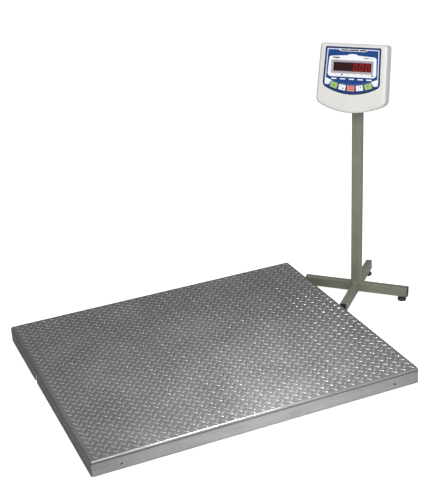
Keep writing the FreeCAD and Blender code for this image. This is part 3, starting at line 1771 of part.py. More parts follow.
def write_parts():
    """Checks the whole document and every sub-part, then writes one STEP file per sub-part."""
    doc.recompute()
    failed = [item.Name for item in doc.Objects if "Invalid" in item.State or "Error" in item.State]
    if failed:
        raise RuntimeError(f"these objects failed: {failed}")
    for item in NODES:
        if item.Shape.isNull() or not item.Shape.isValid() or not item.Shape.Solids:
            raise RuntimeError(f"{item.Label} has no valid solid")
    os.makedirs("parts", exist_ok=True)
    for item in NODES:
        item.Shape.exportStep(f"parts/{item.Label}.step")
        print(f"{item.Label}: {len(item.Shape.Solids)} solid(s), {item.Shape.Volume / 1000:.2f} cm3")
    print(len(NODES), "sub-parts")


build()
write_parts()
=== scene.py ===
import json
import math

import bmesh
import bpy
from mathutils import Matrix, Vector
from mathutils.geometry import delaunay_2d_cdt


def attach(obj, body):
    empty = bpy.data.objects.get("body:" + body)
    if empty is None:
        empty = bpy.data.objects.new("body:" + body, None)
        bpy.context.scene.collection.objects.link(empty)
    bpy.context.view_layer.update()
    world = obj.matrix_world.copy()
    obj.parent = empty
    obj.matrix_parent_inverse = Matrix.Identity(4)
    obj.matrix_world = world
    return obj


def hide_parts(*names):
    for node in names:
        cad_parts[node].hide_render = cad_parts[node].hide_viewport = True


# The looks of a platform shipping scale. Lengths are in millimetres up to the moment a mesh is made, and
# metres after that. The head's own frame has X to the right, Y into the display face and Z up it; its
# origin is in the middle of the label's face, level with the lowest point of the housing's front half.

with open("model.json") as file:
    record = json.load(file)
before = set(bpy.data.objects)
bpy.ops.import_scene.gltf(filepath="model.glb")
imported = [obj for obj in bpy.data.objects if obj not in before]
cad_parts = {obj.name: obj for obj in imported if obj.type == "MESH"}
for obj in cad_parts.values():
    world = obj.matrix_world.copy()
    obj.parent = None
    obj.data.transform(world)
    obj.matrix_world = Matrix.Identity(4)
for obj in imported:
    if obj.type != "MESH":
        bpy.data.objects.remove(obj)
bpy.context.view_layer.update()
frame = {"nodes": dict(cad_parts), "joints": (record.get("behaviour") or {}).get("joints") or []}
MM = 0.001

# ---------------------------------------------------------------- places, read from the frame


def span(node, axes=Matrix.Identity(3)):
    """Lowest and highest corner of a CAD node along these axes, in millimetres."""
    spots = [axes.transposed() @ v.co / MM for v in frame["nodes"][node].data.vertices]
    return [Vector([pick(spot[i] for spot in spots) for i in range(3)]) for pick in (min, max)]


joints = {joint["name"]: joint for joint in frame["joints"]}
into_face = Vector(joints["key_3_press"]["axis"]).normalized()
up_face = Vector(joints["power_rocker_tip"]["axis"]).normalized()
HEAD_AXES = Matrix((into_face.cross(up_face), into_face, up_face)).transposed()
film_low, film_high = span("keypad_overlay", HEAD_AXES)
HEAD_ORIGIN = Vector(
    ((film_low.x + film_high.x) / 2, film_low.y, span("housing_front", HEAD_AXES)[0].z)
)
HEAD = Matrix.Translation(HEAD_AXES @ HEAD_ORIGIN * MM) @ HEAD_AXES.to_4x4() @ Matrix.Scale(MM, 4)
ROW = Matrix.Scale(MM, 4)


def head_span(node):
    """Lowest and highest corner of a CAD node in the head's own frame."""
    return [corner - HEAD_ORIGIN for corner in span(node, HEAD_AXES)]


def head_middle(node):
    """The middle of a CAD node on the display face, as (across, up)."""
    low, high = head_span(node)
    return ((low.x + high.x) / 2, (low.z + high.z) / 2)


DECK_LOW, DECK_HIGH = span("deck_plate")
STAND_MIDDLE = (span("stand_column")[0] + span("stand_column")[1]) / 2

# ---------------------------------------------------------------- meshes

SHARP_ANGLE = 35
ARC_STEPS = 24
SAME_SPOT = 1e-4


def piece(name, vertices, faces, materials, body="root", place=ROW, picks=None, smooth=False, slot=None):
    """A mesh from corners in millimetres, set in place and riding on a body."""
    mesh = bpy.data.meshes.new(name)
    mesh.from_pydata([place @ Vector(v) for v in vertices], [], faces)
    for material in materials:
        mesh.materials.append(material)
    if picks:
        mesh.polygons.foreach_set("material_index", picks)
    mesh.validate()
    mesh.update()
    made = bpy.data.objects.new(name, mesh)
    bpy.context.scene.collection.objects.link(made)
    if smooth:
        mesh.shade_smooth()
        mesh.set_sharp_from_angle(angle=math.radians(SHARP_ANGLE))
    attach(made, body)
    return made


def arc(centre, radius, start, end, steps=ARC_STEPS):
    """Points along an arc; the angles are in degrees, anticlockwise from +X."""
    for i in range(steps + 1):
        angle = math.radians(start + (end - start) * i / steps)
        yield (centre[0] + radius * math.cos(angle), centre[1] + radius * math.sin(angle))


def rounded(corners, radius, steps=5):
    """A closed outline of straight sides with every corner rounded; a corner may bring its own radius."""
    points = []
    count = len(corners)
    for i, corner in enumerate(corners):
        here = Vector(corner[:2])
        size = corner[2] if len(corner) > 2 else radius
        before = (Vector(corners[i - 1][:2]) - here).normalized()
        after = (Vector(corners[(i + 1) % count][:2]) - here).normalized()
        half = before.angle(after) / 2
        back = size / math.tan(half)
        centre = here + (before + after).normalized() * (size / math.sin(half))
        first = here + before * back - centre
        last = here + after * back - centre
        turn = first.angle_signed(last)
        for k in range(steps + 1):
            spoke = first.copy()
            spoke.rotate(Matrix.Rotation(-turn * k / steps, 2))
            points.append(tuple(centre + spoke))
    return points


def oblong(centre, size, radius, turn=0.0):
    """A rounded rectangle, turned by degrees."""
    x, y = size[0] / 2, size[1] / 2
    swing = Matrix.Rotation(math.radians(turn), 2)
    corners = rounded([(-x, -y), (x, -y), (x, y), (-x, y)], radius)
    return [tuple(swing @ Vector(c) + Vector(centre)) for c in corners]


def is_inside(spot, outline):
    """Whether a spot lies within a closed outline."""
    inside = False
    x, y = spot
    ax, ay = outline[-1]
    for bx, by in outline:
        if (ay > y) != (by > y) and x < (bx - ax) * (y - ay) / (by - ay) + ax:
            inside = not inside
        ax, ay = bx, by
    return inside


def printed(name, paints, holes, front, back, **ways):
    """A thin sheet in the head's frame whose face is split into areas of colour. paints lists outlines
    and materials from the sheet itself up to the last print; holes lists openings."""
    spots = []
    edges = []
    outlines = [outline for outline, _ in paints] + holes
    for outline in outlines:
        first = len(spots)
        count = len(outline)
        spots += [Vector(spot) for spot in outline]
        edges += [(first + i, first + (i + 1) % count) for i in range(count)]
    flat, _, triangles, *_ = delaunay_2d_cdt(spots, edges, [], 0, SAME_SPOT)
    chosen = []
    picks = []
    materials = []
    for _, material in paints:
        if material not in materials:
            materials.append(material)
    for triangle in triangles:
        middle = sum((flat[i] for i in triangle), Vector((0, 0))) / len(triangle)
        if not is_inside(middle, paints[0][0]) or any(is_inside(middle, hole) for hole in holes):
            continue
        paint = [material for outline, material in paints if is_inside(middle, outline)][-1]
        chosen.append(tuple(triangle))
        picks.append(materials.index(paint))
    used = sorted({i for triangle in chosen for i in triangle})
    place_of = {old: new for new, old in enumerate(used)}
    count = len(used)
    vertices = [(flat[i].x, y, flat[i].y) for y in (front, back) for i in used]
    faces = [tuple(place_of[i] for i in triangle) for triangle in chosen]
    sides = [side for triangle in faces for side in zip(triangle, triangle[1:] + triangle[:1])]
    joined = set(sides)
    open_sides = [(a, b) for a, b in sides if (b, a) not in joined]
    rear = [tuple(i + count for i in reversed(triangle)) for triangle in faces]
    walls = [(b, a, a + count, b + count) for a, b in open_sides]
    picks = picks + picks + [0] * len(walls)
    return piece(name, vertices, faces + rear + walls, materials, place=HEAD, picks=picks, **ways)


# ---------------------------------------------------------------- materials


class Finish:
    """A procedural material: short calls that add nodes round one Principled shader."""

    def __init__(self, name, **inputs):
        self.material = bpy.data.materials.new(name)
        self.material.use_nodes = True
        self.tree = self.material.node_tree
        self.shader = self.tree.nodes["Principled BSDF"]
        self.where = self.add("ShaderNodeTexCoord").outputs["Object"]
        self.put(**inputs)

    def add(self, kind, inputs=None, **settings):
        node = self.tree.nodes.new(kind)
        for name, value in settings.items():
            setattr(node, name, value)
        for name, value in (inputs or {}).items():
            self.feed(node.inputs[name], value)
        return node

    def feed(self, socket, value):
        if isinstance(value, bpy.types.NodeSocket):
            self.tree.links.new(value, socket)
        elif isinstance(value, tuple) and len(value) == 3 and socket.type == "RGBA":
            socket.default_value = (*value, 1)
        else:
            socket.default_value = value

    def put(self, **inputs):
        for name, value in inputs.items():
            self.feed(self.shader.inputs[name.replace("_", " ")], value)
        return self

    def noise(self, size, detail=4, stretch=(1, 1, 1)):
        """Cloudy noise with features of about this size in millimetres."""
        across = self.add("ShaderNodeMapping", {"Vector": self.where, "Scale": stretch})
        values = {"Vector": across.outputs[0], "Scale": 1 / (size * MM), "Detail": detail}
        return self.add("ShaderNodeTexNoise", values).outputs["Fac"]

    def spread(self, factor, low, high, to_low=0.0, to_high=1.0):
        """Stretches a factor's range low to high over another range, and cuts it off beyond."""
        values = {"Value": factor, "From Min": low, "From Max": high, "To Min": to_low, "To Max": to_high}
        return self.add("ShaderNodeMapRange", values, clamp=True).outputs[0]

    def sums(self, way, a, b=0.0):
        """One step of arithmetic on one or two values."""
        return self.add("ShaderNodeMath", {0: a, 1: b}, operation=way).outputs[0]

    def mix(self, factor, a, b):
        """Colour a at factor 0, colour b at factor 1."""
        node = self.add("ShaderNodeMix", data_type="RGBA")
        factor_socket, colour_a, colour_b = node.inputs[0], node.inputs[6], node.inputs[7]
        self.feed(factor_socket, factor)
        self.feed(colour_a, a)
        self.feed(colour_b, b)
        return node.outputs[2]

    def edges(self, radius):
        """A mask of the edges: 1 where the surface turns sharply within this radius in millimetres."""
        soft = self.add("ShaderNodeBevel", {"Radius": radius * MM}, samples=4).outputs[0]
        hard = self.add("ShaderNodeNewGeometry").outputs["Normal"]
        turn = self.add("ShaderNodeVectorMath", {0: soft, 1: hard}, operation="DOT_PRODUCT")
        return self.spread(self.sums("SUBTRACT", 1.0, turn.outputs["Value"]), 0.04, 0.35)

    def bump(self, height, depth):
        """Depth in millimetres for the height's full range."""
        values = {"Height": height, "Distance": depth * MM, "Strength": 1.0}
        self.feed(self.shader.inputs["Normal"], self.add("ShaderNodeBump", values).outputs[0])
        return self


def shade(colour, factor):
    """A lighter or darker version of a colour."""
    return tuple(min(1.0, channel * factor) for channel in colour)


def cloudy(finish, clouds, colour, dark, light):
    """A colour that drifts between a darker and a lighter version of itself."""
    return finish.mix(finish.spread(clouds, 0.3, 0.7), shade(colour, dark), shade(colour, light))


def painted(name, colour, rough, metal=0.0, grain=0.03, worn=None):
    """Paint or cast metal: cloudy tone, fine grain and, if worn is given, edges worn to that colour."""
    finish = Finish(name, Metallic=metal)
    clouds = finish.noise(90, 5)
    tone = cloudy(finish, clouds, colour, 0.92, 1.08)
    flecks = finish.spread(finish.noise(1.2, 3), 0.35, 0.65)
    tone = finish.mix(finish.sums("MULTIPLY", flecks, 0.12), tone, shade(colour, 0.6))
    if worn:
        chips = finish.spread(finish.noise(6, 6), 0.45, 0.6)
        mask = finish.sums("MULTIPLY", finish.edges(1.5), chips)
        tone = finish.mix(mask, tone, worn)
    finish.put(Base_Color=tone, Roughness=finish.spread(clouds, 0.25, 0.75, rough - 0.06, rough + 0.08))
    return finish.bump(flecks, grain).material


def moulded(name, colour, rough, grain=0.02, size=0.8, coat=0.0):
    """Moulded plastic: an almost even tone with a fine pebble grain of this size."""
    finish = Finish(name, Coat_Weight=coat, Coat_Roughness=0.15)
    clouds = finish.noise(60, 4)
    tone = cloudy(finish, clouds, colour, 0.97, 1.03)
    pebbles = finish.noise(size, 2)
    finish.put(Base_Color=tone, Roughness=finish.spread(clouds, 0.3, 0.7, rough - 0.05, rough + 0.05))
    return finish.bump(pebbles, grain).material


def brushed(name, colour, rough, along):
    """Bright metal with fine scratches; along squeezes the scratch pattern on each axis."""
    finish = Finish(name, Metallic=1.0)
    lines = finish.noise(1.5, 4, stretch=along)
    clouds = finish.noise(40, 4)
    tone = cloudy(finish, clouds, colour, 0.94, 1.06)
    tone = finish.mix(finish.spread(lines, 0.3, 0.7, 0.0, 0.25), tone, shade(colour, 0.55))
    finish.put(Base_Color=tone, Roughness=finish.spread(lines, 0.2, 0.8, rough - 0.08, rough + 0.12))
    return finish.bump(lines, 0.03).material


def film(name, colour):
    """Printed polyester: faint ink mottle under a satin coat."""
    finish = Finish(name, Specular_IOR_Level=0.25, Coat_Weight=0.06, Coat_Roughness=0.2)
    ink = finish.noise(3, 5)
    tone = cloudy(finish, ink, colour, 0.94, 1.05)
    finish.put(Base_Color=tone, Roughness=finish.spread(ink, 0.3, 0.7, 0.28, 0.38))
    return finish.bump(finish.noise(0.6, 2), 0.006).material


# The chequer plate's look, in millimetres where it is a length. A lug is worn bright, with a painted
# highlight, from a set height above the plate up to its top. Painted shade marks the fold of the skirts and
# lies along their foot.
LUG_HEIGHT = 1.5
RUB_AND_HIGHLIGHT_FROM = 0.9
FOLD_DROP = 9.0
FOLD_HALF = 2.6
FOOT_SHADE = 4.0
SHADOW = 0.8
END_SHADE = 0.75
EDGE_WEAR = 4.0
POLISH = 0.16


def rolled_tone(finish, clouds, flecks, colour):
    """The plate's own tone: cloudy, streaked along X by handling, and flecked."""
    streaks = finish.noise(12, 5, stretch=(0.12, 1, 1))
    tone = cloudy(finish, clouds, colour, 0.86, 1.12)
    tone = finish.mix(finish.spread(streaks, 0.4, 0.75, 0.0, 0.4), tone, shade(colour, 1.35))
    return finish.mix(finish.spread(flecks, 0.45, 0.7, 0.0, 0.35), tone, shade(colour, 0.55))


def skirt_shadow(finish, height):
    """A mask of painted shade at the foot of the skirts and in a dark band along their fold."""
    foot = finish.spread(height, DECK_LOW.z * MM, (DECK_LOW.z + FOOT_SHADE) * MM, 1.0, 0.0)
    band = {0: height, 1: (DECK_HIGH.z - FOLD_DROP) * MM, 2: FOLD_HALF * MM}
    fold = finish.add("ShaderNodeMath", band, operation="COMPARE").outputs[0]
    return finish.sums("MULTIPLY", finish.sums("MAXIMUM", foot, fold), SHADOW)


def shaded_end_faces(finish):
    """A mask of the faces that look along X: painted shade makes them darker than the front."""
    normal = finish.add("ShaderNodeNewGeometry").outputs["Normal"]
    sideways = finish.add("ShaderNodeSeparateXYZ", {0: normal}).outputs[0]
    return finish.spread(finish.sums("ABSOLUTE", sideways), 0.6, 0.95, 0.0, END_SHADE)


def deck_steel(name, colour, bright, rough):
    """Rolled plate: dull between the lugs, worn bright with a painted highlight on their tops, worn along
    the edges.
    """
    finish = Finish(name, Metallic=0.75)
    clouds = finish.noise(160, 6)
    flecks = finish.noise(1.4, 4)
    height = finish.add("ShaderNodeSeparateXYZ", {0: finish.where}).outputs[2]
    tone = rolled_tone(finish, clouds, flecks, colour)
    # The lugs' tops are worn bright and also carry a painted highlight.
    rubbed_and_highlight = finish.spread(height, (DECK_HIGH.z + RUB_AND_HIGHLIGHT_FROM) * MM, (DECK_HIGH.z + LUG_HEIGHT) * MM)
    rubbed_and_highlight = finish.sums("MULTIPLY", rubbed_and_highlight, finish.spread(clouds, 0.3, 0.65, 0.6, 1.0))
    tone = finish.mix(rubbed_and_highlight, tone, shade(bright, 0.85))
    # Painted shade at the foot of the skirts and along their fold.
    tone = finish.mix(skirt_shadow(finish, height), tone, shade(colour, 0.2))
    # Painted shade on the faces that look along X.
    tone = finish.mix(shaded_end_faces(finish), tone, shade(colour, 0.1))
    chips = finish.spread(finish.noise(9, 5), 0.3, 0.55, 0.4, 1.0)
    worn = finish.sums("MULTIPLY", finish.edges(EDGE_WEAR), chips)
    tone = finish.mix(worn, tone, bright)
    softness = finish.spread(clouds, 0.25, 0.75, rough - 0.05, rough + 0.1)
    polish = finish.sums("MULTIPLY", finish.sums("MAXIMUM", rubbed_and_highlight, worn), POLISH)
    finish.put(Base_Color=tone, Roughness=finish.sums("SUBTRACT", softness, polish))
    return finish.bump(flecks, 0.06).material


def tinted_window():
    """Dark red acrylic: it lets the digits' red through and mirrors a little of the room."""
    finish = Finish("window_acrylic")
    mottle = finish.spread(finish.noise(25, 4), 0.3, 0.7, 0.05, 0.1)
    clear = finish.add("ShaderNodeBsdfTransparent", {"Color": (0.75, 0.16, 0.12)}).outputs[0]
    shine = finish.add("ShaderNodeBsdfGlossy", {"Color": (0.9, 0.9, 0.9), "Roughness": mottle}).outputs[0]
    edge = finish.add("ShaderNodeFresnel", {"IOR": 1.45}).outputs[0]
    both = finish.add("ShaderNodeMixShader", {0: edge, 1: clear, 2: shine}).outputs[0]
    output = next(node for node in finish.tree.nodes if node.type == "OUTPUT_MATERIAL")
    finish.feed(output.inputs["Surface"], both)
    return finish.material


def lit(name, colour, strength):
    """A face that glows a little unevenly in one colour."""
    finish = Finish(name, Base_Color=shade(colour, 0.1), Roughness=0.4)
    glow = finish.spread(finish.noise(6, 3), 0.3, 0.7, strength * 0.85, strength * 1.1)
    return finish.put(Emission_Color=colour, Emission_Strength=glow).material


STEEL = deck_steel("chequer_plate", (0.3, 0.303, 0.31), (0.86, 0.87, 0.88), 0.31)
UNDERSIDE = painted("underside_steel", (0.16, 0.163, 0.168), rough=0.5, metal=0.5, worn=(0.4, 0.4, 0.4))
STAND = painted("stand_coating", (0.26, 0.262, 0.205), rough=0.38, metal=0.35, worn=(0.4, 0.4, 0.35))
ZINC = brushed("zinc_plate", (0.62, 0.62, 0.58), rough=0.34, along=(1, 1, 3))
NICKEL = brushed("nickel_plate", (0.66, 0.65, 0.62), rough=0.25, along=(1, 0.2, 1))
CAST = painted("black_cast", (0.025, 0.025, 0.026), rough=0.55, grain=0.08)
BLACK = moulded("black_plastic", (0.02, 0.02, 0.021), rough=0.42)
RUBBER = moulded("cable_jacket", (0.03, 0.03, 0.031), rough=0.55, size=1.5)
HOUSING = moulded("housing_abs", (0.7, 0.7, 0.675), rough=0.34, grain=0.03, size=0.7, coat=0.1)
BOARD = moulded("solder_mask", (0.02, 0.14, 0.06), rough=0.3, grain=0.01)
BATTERY = moulded("battery_case", (0.04, 0.04, 0.045), rough=0.5)
IRON = painted("transformer_iron", (0.12, 0.11, 0.1), rough=0.5)
BEZEL = moulded("bezel_moulding", (0.38, 0.34, 0.39), rough=0.35, grain=0.008)
WHITE_INK = film("white_ink", (0.86, 0.87, 0.9))
PALE_INK = film("pale_ink", (0.64, 0.73, 0.92))
NAVY_INK = film("navy_ink", (0.012, 0.025, 0.09))
BLUE_INK = film("blue_ink", (0.01, 0.05, 0.21))
BAND_INK = film("band_ink", (0.012, 0.04, 0.15))
GREY_INK = film("grey_ink", (0.2, 0.2, 0.19))
DARK_INK = film("dark_ink", (0.012, 0.012, 0.016))
GREEN_INK = film("green_ink", (0.36, 0.55, 0.17))
RED_INK = film("red_ink", (0.8, 0.27, 0.2))
GREEN_DARK = film("green_sign", (0.08, 0.2, 0.03))
RED_DARK = film("red_sign", (0.55, 0.1, 0.07))
DIM_SEGMENT = moulded("unlit_segment", (0.03, 0.008, 0.006), rough=0.5)
LIT_SEGMENT = lit("lit_segment", (1.0, 0.26, 0.3), 1.1)
# The face of a digit block that shows a sign gets a faint painted red glow, though the face gives no light.
GLOWING_FACE = lit("glowing_face", (1.0, 0.02, 0.06), 0.03)
WINDOW = tinted_window()

CAD_FINISH = {
    STEEL: ["deck_plate"],
    UNDERSIDE: ["deck_ribs", "side_channels", "lifting_bushes", "junction_box"],
    ZINC: [
        "load_cell_spacers",
        "load_cell_bolts",
        "junction_box_lid",
        "junction_box_screws",
        "bracket_bolts",
        "head_mount_screws",
        "housing_screws",
    ],
    BOARD: ["summing_board", "display_board", "keypad_board", "main_board"],
    BLACK: ["cable_glands", "leg_end_caps", "column_cap", "mains_inlet", "switch_frame", "power_rocker"],
    RUBBER: ["load_cell_cables", "signal_cable"],
    STAND: ["stand_base", "stand_column", "head_bracket"],
    HOUSING: ["housing_front", "housing_rear"],
    WINDOW: ["display_window"],
    BATTERY: ["battery"],
    IRON: ["transformer"],
    GREEN_INK: ["key_1", "key_5"],
    WHITE_INK: ["key_2", "key_4"],
    RED_INK: ["key_3"],
}
CORNERS = ["front_left", "front_right", "rear_left", "rear_right"]
LEGS = ["right", "left", "back", "front"]


def finish_cad_nodes():
    """Gives its material to every CAD node that no piece of this script replaces."""
    chosen = {node: material for material, nodes in CAD_FINISH.items() for node in nodes}
    for corner in CORNERS:
        chosen[f"load_cell_{corner}"] = NICKEL
        chosen[f"foot_pad_{corner}"] = CAST
        chosen[f"foot_stem_{corner}"] = ZINC
    for leg in LEGS:
        chosen[f"stand_pad_{leg}"] = RUBBER
        chosen[f"stand_stem_{leg}"] = ZINC
    for node, material in chosen.items():
        slots = frame["nodes"][node].data.materials
        slots.clear()
        slots.append(material)


# ---------------------------------------------------------------- platform

# One lug, the spacing of each kind of lug, and the bare border round all of them. LUG_SINK is how deep a
# lug goes into the plate, LUG_STEPS are its divisions along and across.
LUG_LONG = 25.0
LUG_WIDE = 8.5
LUG_SINK = 0.3
LUG_STEPS = (6, 4)
LUG_CELL = (34.0, 30.0)
LUG_MARGIN = 13.0
LUG_SLANT = 45


def lug_points():
    """One lug along X as a closed lens: pointed ends, a rounded back and a flat hidden underside."""
    along, across = LUG_STEPS
    vertices = []
    for i in range(along + 1):
        t = -math.cos(math.pi * i / along)
        half = LUG_WIDE / 2 * (1 - t * t) ** 0.8
        for j in range(across + 1):
            s = -math.cos(math.pi * j / across)
            rise = (LUG_HEIGHT + LUG_SINK) * (1 - t * t) ** 0.55 * (1 - s * s) ** 0.5
            vertices.append((LUG_LONG / 2 * t, half * s, rise - LUG_SINK))
    return vertices


def lug_faces():
    """The lug's back as quads, and its underside as one face round the rim."""
    along, across = LUG_STEPS
    row = across + 1
    faces = []
    for i in range(along):
        for j in range(across):
            a = i * row + j
            faces.append((a, a + row, a + row + 1, a + 1))
    rim = [i * row for i in range(along + 1)] + [along * row + j for j in range(1, row)]
    rim += [i * row + across for i in range(along - 1, -1, -1)] + list(range(across - 1, 0, -1))
    return faces + [tuple(reversed(rim))]


def close_points(mesh):
    """Joins the corners that fall together at the lugs' pointed ends."""
    clean = bmesh.new()
    clean.from_mesh(mesh)
    bmesh.ops.remove_doubles(clean, verts=clean.verts, dist=1e-6)
    bmesh.ops.recalc_face_normals(clean, faces=clean.faces)
    clean.to_mesh(mesh)
    clean.free()


def chequer_lugs():
    """Rows of raised lugs, each kind at right angles to the other, like a chequer board."""
    shape = lug_points()
    sides = lug_faces()
    cell_x, cell_y = LUG_CELL
    count_x = int((DECK_HIGH.x - LUG_MARGIN) / cell_x * 2)
    count_y = int((DECK_HIGH.y - LUG_MARGIN) / cell_y * 2)
    vertices = []
    faces = []
    for i in range(-count_x, count_x + 1):
        for j in range(-count_y, count_y + 1):
            if (i + j) % 2:
                continue
            turn = Matrix.Rotation(math.radians(LUG_SLANT if i % 2 else -LUG_SLANT), 3, "Z")
            shift = Vector((i * cell_x / 2, j * cell_y / 2, DECK_HIGH.z))
            first = len(vertices)
            vertices += [turn @ Vector(spot) + shift for spot in shape]
            faces += [tuple(first + k for k in side) for side in sides]
    lugs = piece("chequer_lugs", vertices, faces, [STEEL], smooth=True, slot="platform_paint")
    close_points(lugs.data)


# ---------------------------------------------------------------- label

# The label's outline: a wide arc at the bottom, slanting sides and rounded corners.
FILM_ARC = 205.0
FILM_TOP_HALF = 105.0
FILM_CORNER_TOP = 7.0
FILM_CORNER_LOW = 20.0
CORNER_TRIES = 30
SIDE_STEPS = 40

# The row of keys lies on an arc; each opening in the label is a key with a gap all round.
KEY_ARC = 218.0
KEY_WIDE = 26.0
KEY_TALL = 19.0
KEY_GAP = 0.6
KEY_CORNER = 2.0
BAND_MARGIN = 2.5
BAND_SWING = 22


def film_outline(inset=0.0):
    """The label's outline, taken in by inset."""
    top = film_high.z - HEAD_ORIGIN.z - inset
    low = film_low.z - HEAD_ORIGIN.z
    top_half = FILM_TOP_HALF - inset
    low_half = (film_high.x - film_low.x) / 2 - inset
    centre = low + FILM_ARC
    radius = FILM_ARC - inset
    corner = FILM_CORNER_LOW - inset
    # The lower corner's centre has to lie inside both the side and the arc, so it is found step by step.
    corner_z = low + 3 * FILM_CORNER_LOW
    for _ in range(CORNER_TRIES):
        corner_x = low_half - corner - (low_half - top_half) * (corner_z - low) / (top - low)
        corner_z = centre - math.sqrt((radius - corner) ** 2 - corner_x**2)
    swing = math.degrees(math.atan2(corner_x, centre - corner_z))
    right = list(arc((0, centre), radius, -90, -90 + swing))
    right += list(arc((corner_x, corner_z), corner, -90 + swing, 0, 8))[1:]
    edge = max(FILM_CORNER_TOP - inset, 1.0)
    side_low = Vector(right[-1])
    side_high = Vector((top_half, top - edge))
    right += [tuple(side_low.lerp(side_high, i / SIDE_STEPS)) for i in range(1, SIDE_STEPS)]
    right += arc((top_half - edge, top - edge), edge, 0, 90, 5)
    return right + [(-x, z) for x, z in reversed(right[1:])]


def key_outlines():
    """Each key's outline in the head's frame, from its CAD node, grown by the gap round it."""
    size = (KEY_WIDE + 2 * KEY_GAP, KEY_TALL + 2 * KEY_GAP)
    for number in range(1, 6):
        middle = head_middle(f"key_{number}")
        turn = math.degrees(math.asin(middle[0] / KEY_ARC))
        yield oblong(middle, size, KEY_CORNER, turn)


def lower_edge(outline, inner, foot, side_foot):
    """Cuts an outline off above the keys: between the two inner spots it follows the keys' arc, beyond
    them it goes by way of foot, and it keeps the outline's sides down to the height side_foot."""
    centre = head_middle("key_3")[1] + KEY_ARC
    radius = math.hypot(inner[0], centre - inner[1])
    swing = math.degrees(math.asin(inner[0] / radius))
    kept = [spot for spot in outline if spot[1] > side_foot]
    right = [spot for spot in kept if spot[0] >= 0]
    left = [spot for spot in kept if spot[0] < 0]
    over = list(arc((0, centre), radius, -90 - swing, -90 + swing))
    return [foot] + right + left + [(-foot[0], foot[1])] + over


def key_band():
    """The darker band behind the row of keys, along their arc."""
    low, high = head_span("key_3")
    centre = head_middle("key_3")[1] + KEY_ARC
    half = (high.z - low.z) / 2 + BAND_MARGIN
    over = list(arc((0, centre), KEY_ARC - half, -90 + BAND_SWING, -90 - BAND_SWING))
    under = list(arc((0, centre), KEY_ARC + half, -90 - BAND_SWING, -90 + BAND_SWING))
    return over + under


# How far in the borders lie, and where the pale line and the blue panel turn in above the keys. Places are
# (across, up) in the head's frame.
NAVY_INSET = 1.0
RING_INSET = 8.0
PANEL_INSET = 11.5
PALE_INNER = (73.0, 116.5)
PALE_FOOT = (84.0, 101.0)
PANEL_INNER = (73.0, 117.0)
PANEL_FOOT = (76.0, 118.0)
PANEL_SIDE_FOOT = 127.0

# The white display field: its half widths and heights, its corners, and the crest in the middle of its top.
SCREEN_LOW = 131.5
SCREEN_LOW_HALF = 92.0
SCREEN_LOW_CORNER = 12.0
SCREEN_TOP = 211.0
SCREEN_TOP_HALF = 88.0
SCREEN_TOP_CORNER = 9.0
SHOULDER_DROP = 5.0
CREST_SLOPE = 4.5
CREST_RISE = 4.0
CREST_HALF = 20
CREST_STEP = 4

# The title bar under the top edge, with three dark bars in it as (place across, length).
TITLE_LOW = 224.0
TITLE_TOP = 232.5
TITLE_LOW_HALF = 46.0
TITLE_TOP_HALF = 60.0
TITLE_BARS = ((-31, 28), (3, 36), (37, 26))
TITLE_BAR_RISE = 228.3
TITLE_BAR_TALL = 4.6

# Small prints on the display field, as (across, up from the window's middle), (width, height), corner.
DARK_CAPTIONS = (((-61, 32.5), (27, 4), 1.2), ((-60, 27.5), (2.2, 4), 0.8))
GREY_CAPTION = ((50, 33), (19, 3.6), 1.2)
CAPTION_LINE = ((71, 32), (19, 1.4), 0.6)

# Tick marks under the window, as (place across, size), and white bars over the keys.
TICK_DROP = 28.5
TICKS = ((-63, 2.4), (-37, 6), (-13, 2.6), (12, 2.4), (37, 2.6), (62, 2.4), (76, 6))
KEY_BARS = (-66, -33, 0, 33, 66)
KEY_BAR_RISE = 123.8
KEY_BAR_SIZE = (20, 4)

# The right end patch's corners, the thickness of patch and film, and the bezel's lap over the film.
PATCH_CORNERS = ((78, 118.5), (96, 125), (100.5, 116), (89.5, 103.5))
PATCH_THICK = 0.06
FILM_THICK = 0.5
BEZEL_OVERLAP = 6.0


def screen_outline(rise):
    """The white display field: a rounded box whose top sinks to both sides of a low crest."""
    crest = []
    for x in range(CREST_HALF, -CREST_HALF - 1, -CREST_STEP):
        bulge = CREST_RISE * max(0, 1 - (x / CREST_HALF) ** 4)
        crest.append((x, SCREEN_TOP - CREST_SLOPE * abs(x) / SCREEN_TOP_HALF + bulge))
    shoulder = SCREEN_TOP - SHOULDER_DROP
    box = rounded(
        [
            (-SCREEN_LOW_HALF, SCREEN_LOW, SCREEN_LOW_CORNER),
            (SCREEN_LOW_HALF, SCREEN_LOW, SCREEN_LOW_CORNER),
            (SCREEN_TOP_HALF, shoulder, SCREEN_TOP_CORNER),
            (-SCREEN_TOP_HALF, shoulder, SCREEN_TOP_CORNER),
        ],
        SCREEN_TOP_CORNER,
    )
    right_top = [spot for spot in box if spot[1] > rise and spot[0] > 0]
    left_top = [spot for spot in box if spot[1] > rise and spot[0] < 0]
    return [spot for spot in box if spot[1] < rise] + right_top + crest + left_top


def title_outline():
    """The blank title bar, wider at its top."""
    low_side = [(-TITLE_LOW_HALF, TITLE_LOW), (TITLE_LOW_HALF, TITLE_LOW)]
    return rounded(low_side + [(TITLE_TOP_HALF, TITLE_TOP), (-TITLE_TOP_HALF, TITLE_TOP)], 2)


def small_prints(rise):
    """Bars and tick marks that stand where a real label has its captions. They bear no lettering."""

    def over_window(spot, size, corner):
        return oblong((spot[0], rise + spot[1]), size, corner)

    for x, length in TITLE_BARS:
        yield oblong((x, TITLE_BAR_RISE), (length, TITLE_BAR_TALL), 1), DARK_INK
    for caption in DARK_CAPTIONS:
        yield over_window(*caption), DARK_INK
    yield over_window(*GREY_CAPTION), GREY_INK
    yield over_window(*CAPTION_LINE), BEZEL
    for x in KEY_BARS:
        yield oblong((x, KEY_BAR_RISE), KEY_BAR_SIZE, 1.4), WHITE_INK
    for x, size in TICKS:
        yield oblong((x, rise - TICK_DROP), (size, size), size * 0.3), DARK_INK


